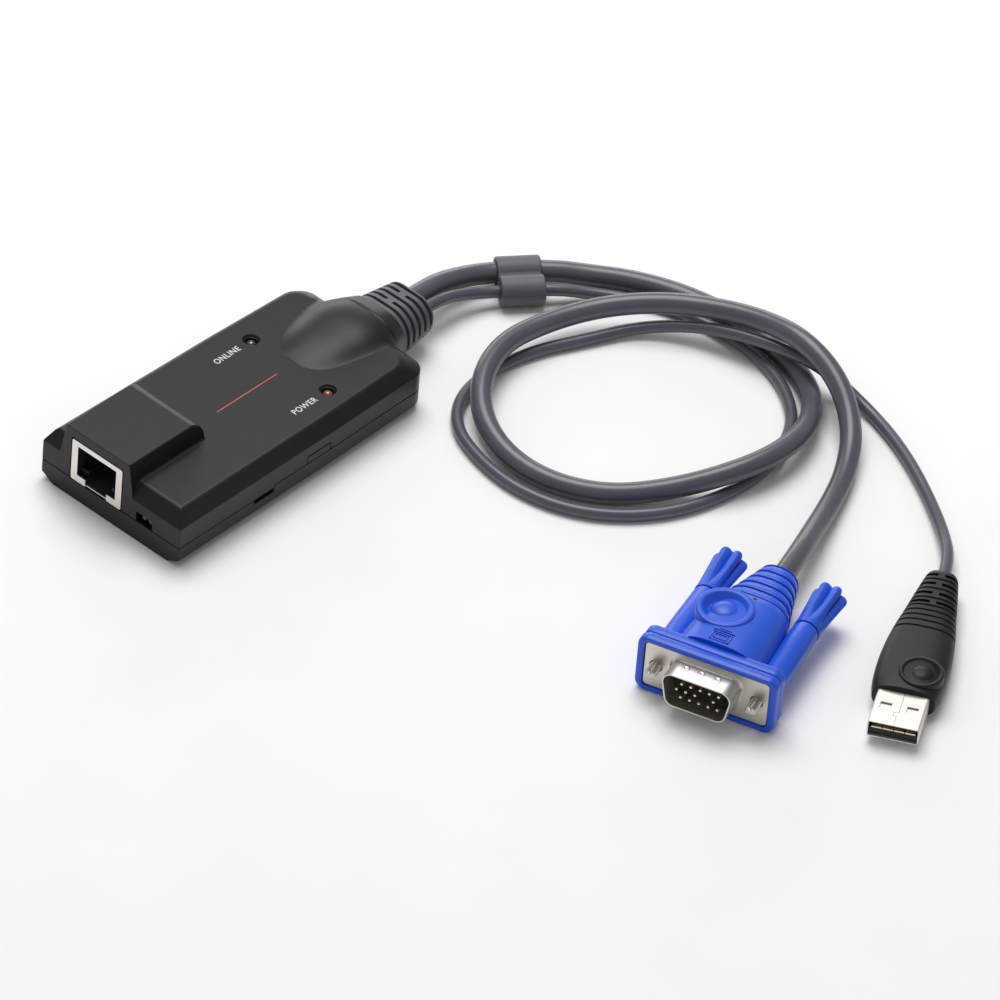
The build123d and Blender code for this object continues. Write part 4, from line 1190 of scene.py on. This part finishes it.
# %% [markdown]
# The knob behind the sleeve has six deep lobes that flare out and are round at their
# ends. It starts as a round ring at the sleeve, and the lobes deepen within its first
# half, so one formula for the radius gives every ring.

# %% Knob section
KNOB_START, KNOB_LONG, LOBES, LOBE_DEEP = 27.8, 14.4, 6, 1.45


def knob_ring(side, d, steps=120):
    """Ring of a knob, round at the sleeve and lobed behind."""
    share = (d - KNOB_START) / KNOB_LONG
    outer = 3.2 + 1.15 * share ** 1.2
    depth = LOBE_DEEP * max(0, min(1, (share - 0.06) / 0.5)) ** 0.8
    end = max(0, (d - 40.6) / 1.6)
    outer -= 1.0 - math.sqrt(max(0, 1 - end**2))
    ring = []
    for a in turns(steps):
        lobe = (0.5 + 0.5 * math.cos(LOBES * a)) ** 0.55
        ring.append(about_screw(side, d, outer - depth * (1 - lobe), a))
    return ring


# %% Lock screws and knobs
knob_places = [KNOB_START, 27.95, 28.4, 29] + [29.6 + 0.8 * step for step in range(14)]
knob_places += [40.9, 41.3, 41.6, 41.85, 42.05, 42.18]
for name, side in zip(("left", "right"), SCREWS):
    screw = built(f"screw_{name}", [wrap(screw_rings(side))], screw_steel, sharp=30)
    stands_for(screw, f"lock_screw_{name}")
    knob_skin = wrap([knob_ring(side, d) for d in knob_places])
    knob = built(f"knob_{name}_skin", [knob_skin], plug_blue, sharp=50)
    stands_for(knob, f"knob_{name}")
# Dark rings just behind the flange round each screw: painted shade for the shadowed gap of the
# bore, not a real part.
bore_shade_rings = [wrap([round_ring(side, 0.55, 1.6), round_ring(side, 0.95, 1.6)]) for side in SCREWS]
screw_bore_shade = built("screw_bore_shade", bore_shade_rings, insulator_and_shade_black)
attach(screw_bore_shade, "adapter")

# %% [markdown]
# The serial plug's shell is folded from plated sheet. Its joint runs down the middle of
# the top with a small hooked key, and each window has a rolled lip behind it. Inside, the
# contacts lie side by side on the tongue and shine through the open mouth.

# %% Serial shell and its lips
usb_shell_skin = softened("usb_shell", 0.1)
WINDOWS = (-3.1, 3.1)
lip_outline = [
    (7.15, 2.2), (7.15, 2.3), (7.25, 2.42), (7.4, 2.46), (7.6, 2.42), (7.8, 2.3), (7.85, 2.2),
]
lips = [
    wrap([[serial(x, y, z) for y, z in lip_outline] for x in (side - 1.35, side + 1.35)])
    for side in WINDOWS
]
shell_lips = built("shell_lips", lips, nickel_plate)
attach(shell_lips, "adapter")


# %% Joint of the serial shell
def strip(side0, behind0, side1, behind1, low, high):
    """Flat block on the serial plug."""
    outline = [(side0, behind0), (side1, behind0), (side1, behind1), (side0, behind1)]
    return wrap([[serial(x, y, z) for x, y in outline] for z in (low, high)])


joint_rows = (
    (0.2, 4.5, 0.32, 12.3), (-0.9, 4.42, 0.32, 4.54), (-0.9, 3.3, -0.78, 4.42),
    (-0.9, 3.2, 0.0, 3.32), (-0.1, 0.15, 0.02, 3.2),
)
joint_dark = graded(
    "joint_dark", (0.12, 0.11, 0.1), (0.18, 0.16, 0.15), 0.2, (0.4, 0.5), 0.002, metal=1
)
shell_joint = built("shell_joint", [strip(*row, 2.2, 2.262) for row in joint_rows], joint_dark)
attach(shell_joint, "adapter")

# %% Contacts and window floors
bars = [strip(x - 1.2, 0.72, x + 1.2, 11.9, -0.13, 0.24) for x in (-3.9, -1.3, 1.3, 3.9)]
contact_bars = built("contact_bars", bars, pin_plate)
stands_for(contact_bars, "usb_contacts")
floors = [strip(side - 1.6, 4.8, side + 1.6, 7.6, 1.5, 1.86) for side in WINDOWS]
window_floor = built("window_floor", floors, nickel_plate)
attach(window_floor, "adapter")

# %% [markdown]
# The grip of the serial plug is a black moulding, widest near the shell and waisted
# towards the cord. Behind the thumb pad it has ring grooves, then rows of paired slots
# with more grooves between, so the thin cord is led out gently. All of that is a skin of
# ovals, each drawn in where a groove or slot lies.

# %% Grip tables
grip_half = [
    (11.5, 7.35), (13.5, 7.85), (17.5, 8.25), (22, 8.35), (28, 8.1), (34, 7.4), (41, 6.15),
    (48, 5.0), (53, 4.1), (55.6, 3.5),
]
grip_tall = [
    (11.5, 3.75), (14, 3.98), (20, 4.0), (34, 4.0), (44, 3.75), (52, 3.3), (55.6, 2.95),
]
ring_grooves = [33.2, 35.4, 37.3, 39.2, 41.0, 43.9, 47.5, 51.1]
paired_slots = [42.2, 45.5, 49.1, 52.6]
GROOVE, GROOVE_LIP, GROOVE_DEEP = 0.5, 0.2, 0.38
PAIR, PAIR_LIP, PAIR_DEEP = 0.85, 0.12, 0.75
print("grip", len(ring_grooves), "grooves,", len(paired_slots), "pairs of slots")


# %% Grip section
def grip_ring(d, inset=0.0):
    """Ring of the grip at d behind the shell's mouth."""
    half, tall = eased(grip_half, d), eased(grip_tall, d)
    ring = []
    for point in egg(half, tall, 2.7, 160):
        cut = inset
        for start in ring_grooves:
            cut = max(cut, GROOVE_DEEP * groove(d, start, GROOVE, GROOVE_LIP))
        for start in paired_slots:
            if abs(point.x) > 0.8 and abs(point.y) > 1.0:
                cut = max(cut, PAIR_DEEP * groove(d, start, PAIR, PAIR_LIP))
        spot = point * (1 - cut / point.length)
        ring.append(serial(spot.x, d, spot.y))
    return ring


# %% Body of the grip
grip_places = {11.6, 11.8, 12.2, 13, 14, 15, 16, 17.5, 19, 21, 23, 25, 27, 29, 31, 32.5, 54.2}
for start in ring_grooves:
    grip_places.update(groove_places(start, GROOVE, GROOVE_LIP))
for start in paired_slots:
    grip_places.update(groove_places(start, PAIR, PAIR_LIP))
grip_front = [grip_ring(d, inset) for d, inset in ((11.5, 1.6), (11.46, 0.5), (11.5, 0.15))]
end_profile = ((54.7, 0.08), (55.1, 0.25), (55.4, 0.55), (55.56, 1.0))
grip_end = [grip_ring(d, inset) for d, inset in end_profile]
grip_body = wrap(grip_front + [grip_ring(d) for d in sorted(grip_places)] + grip_end)

# %% Serial grip
grip_pad_profile = [
    (5.25, 0.5), (5.25, 3.9), (5.2, 4.2), (5.0, 4.42), (4.7, 4.48), (4.45, 4.42), (4.2, 4.2),
    (3.7, 3.55), (3.35, 3.2), (3.1, 3.12), (2.9, 3.3), (2.75, 3.6), (2.35, 4.0), (1.7, 4.34),
    (0.9, 4.52), (0.02, 4.58),
]
grip_pad = pad(serial, 2.6, 17.8, grip_pad_profile)
grip_skin = built("grip_skin", [grip_body, grip_pad], grip_black, sharp=40)
stands_for(grip_skin, "usb_grip")

# %% [markdown]
# The cords ride with the housing, and each carries its plug. Each cord takes the place of
# its solid and moves with the same body.

# %% Cords in place of their solids
for cord, node in ((video_jacket, "vga_cord"), (serial_jacket, "usb_cord")):
    stands_for(cord, node)
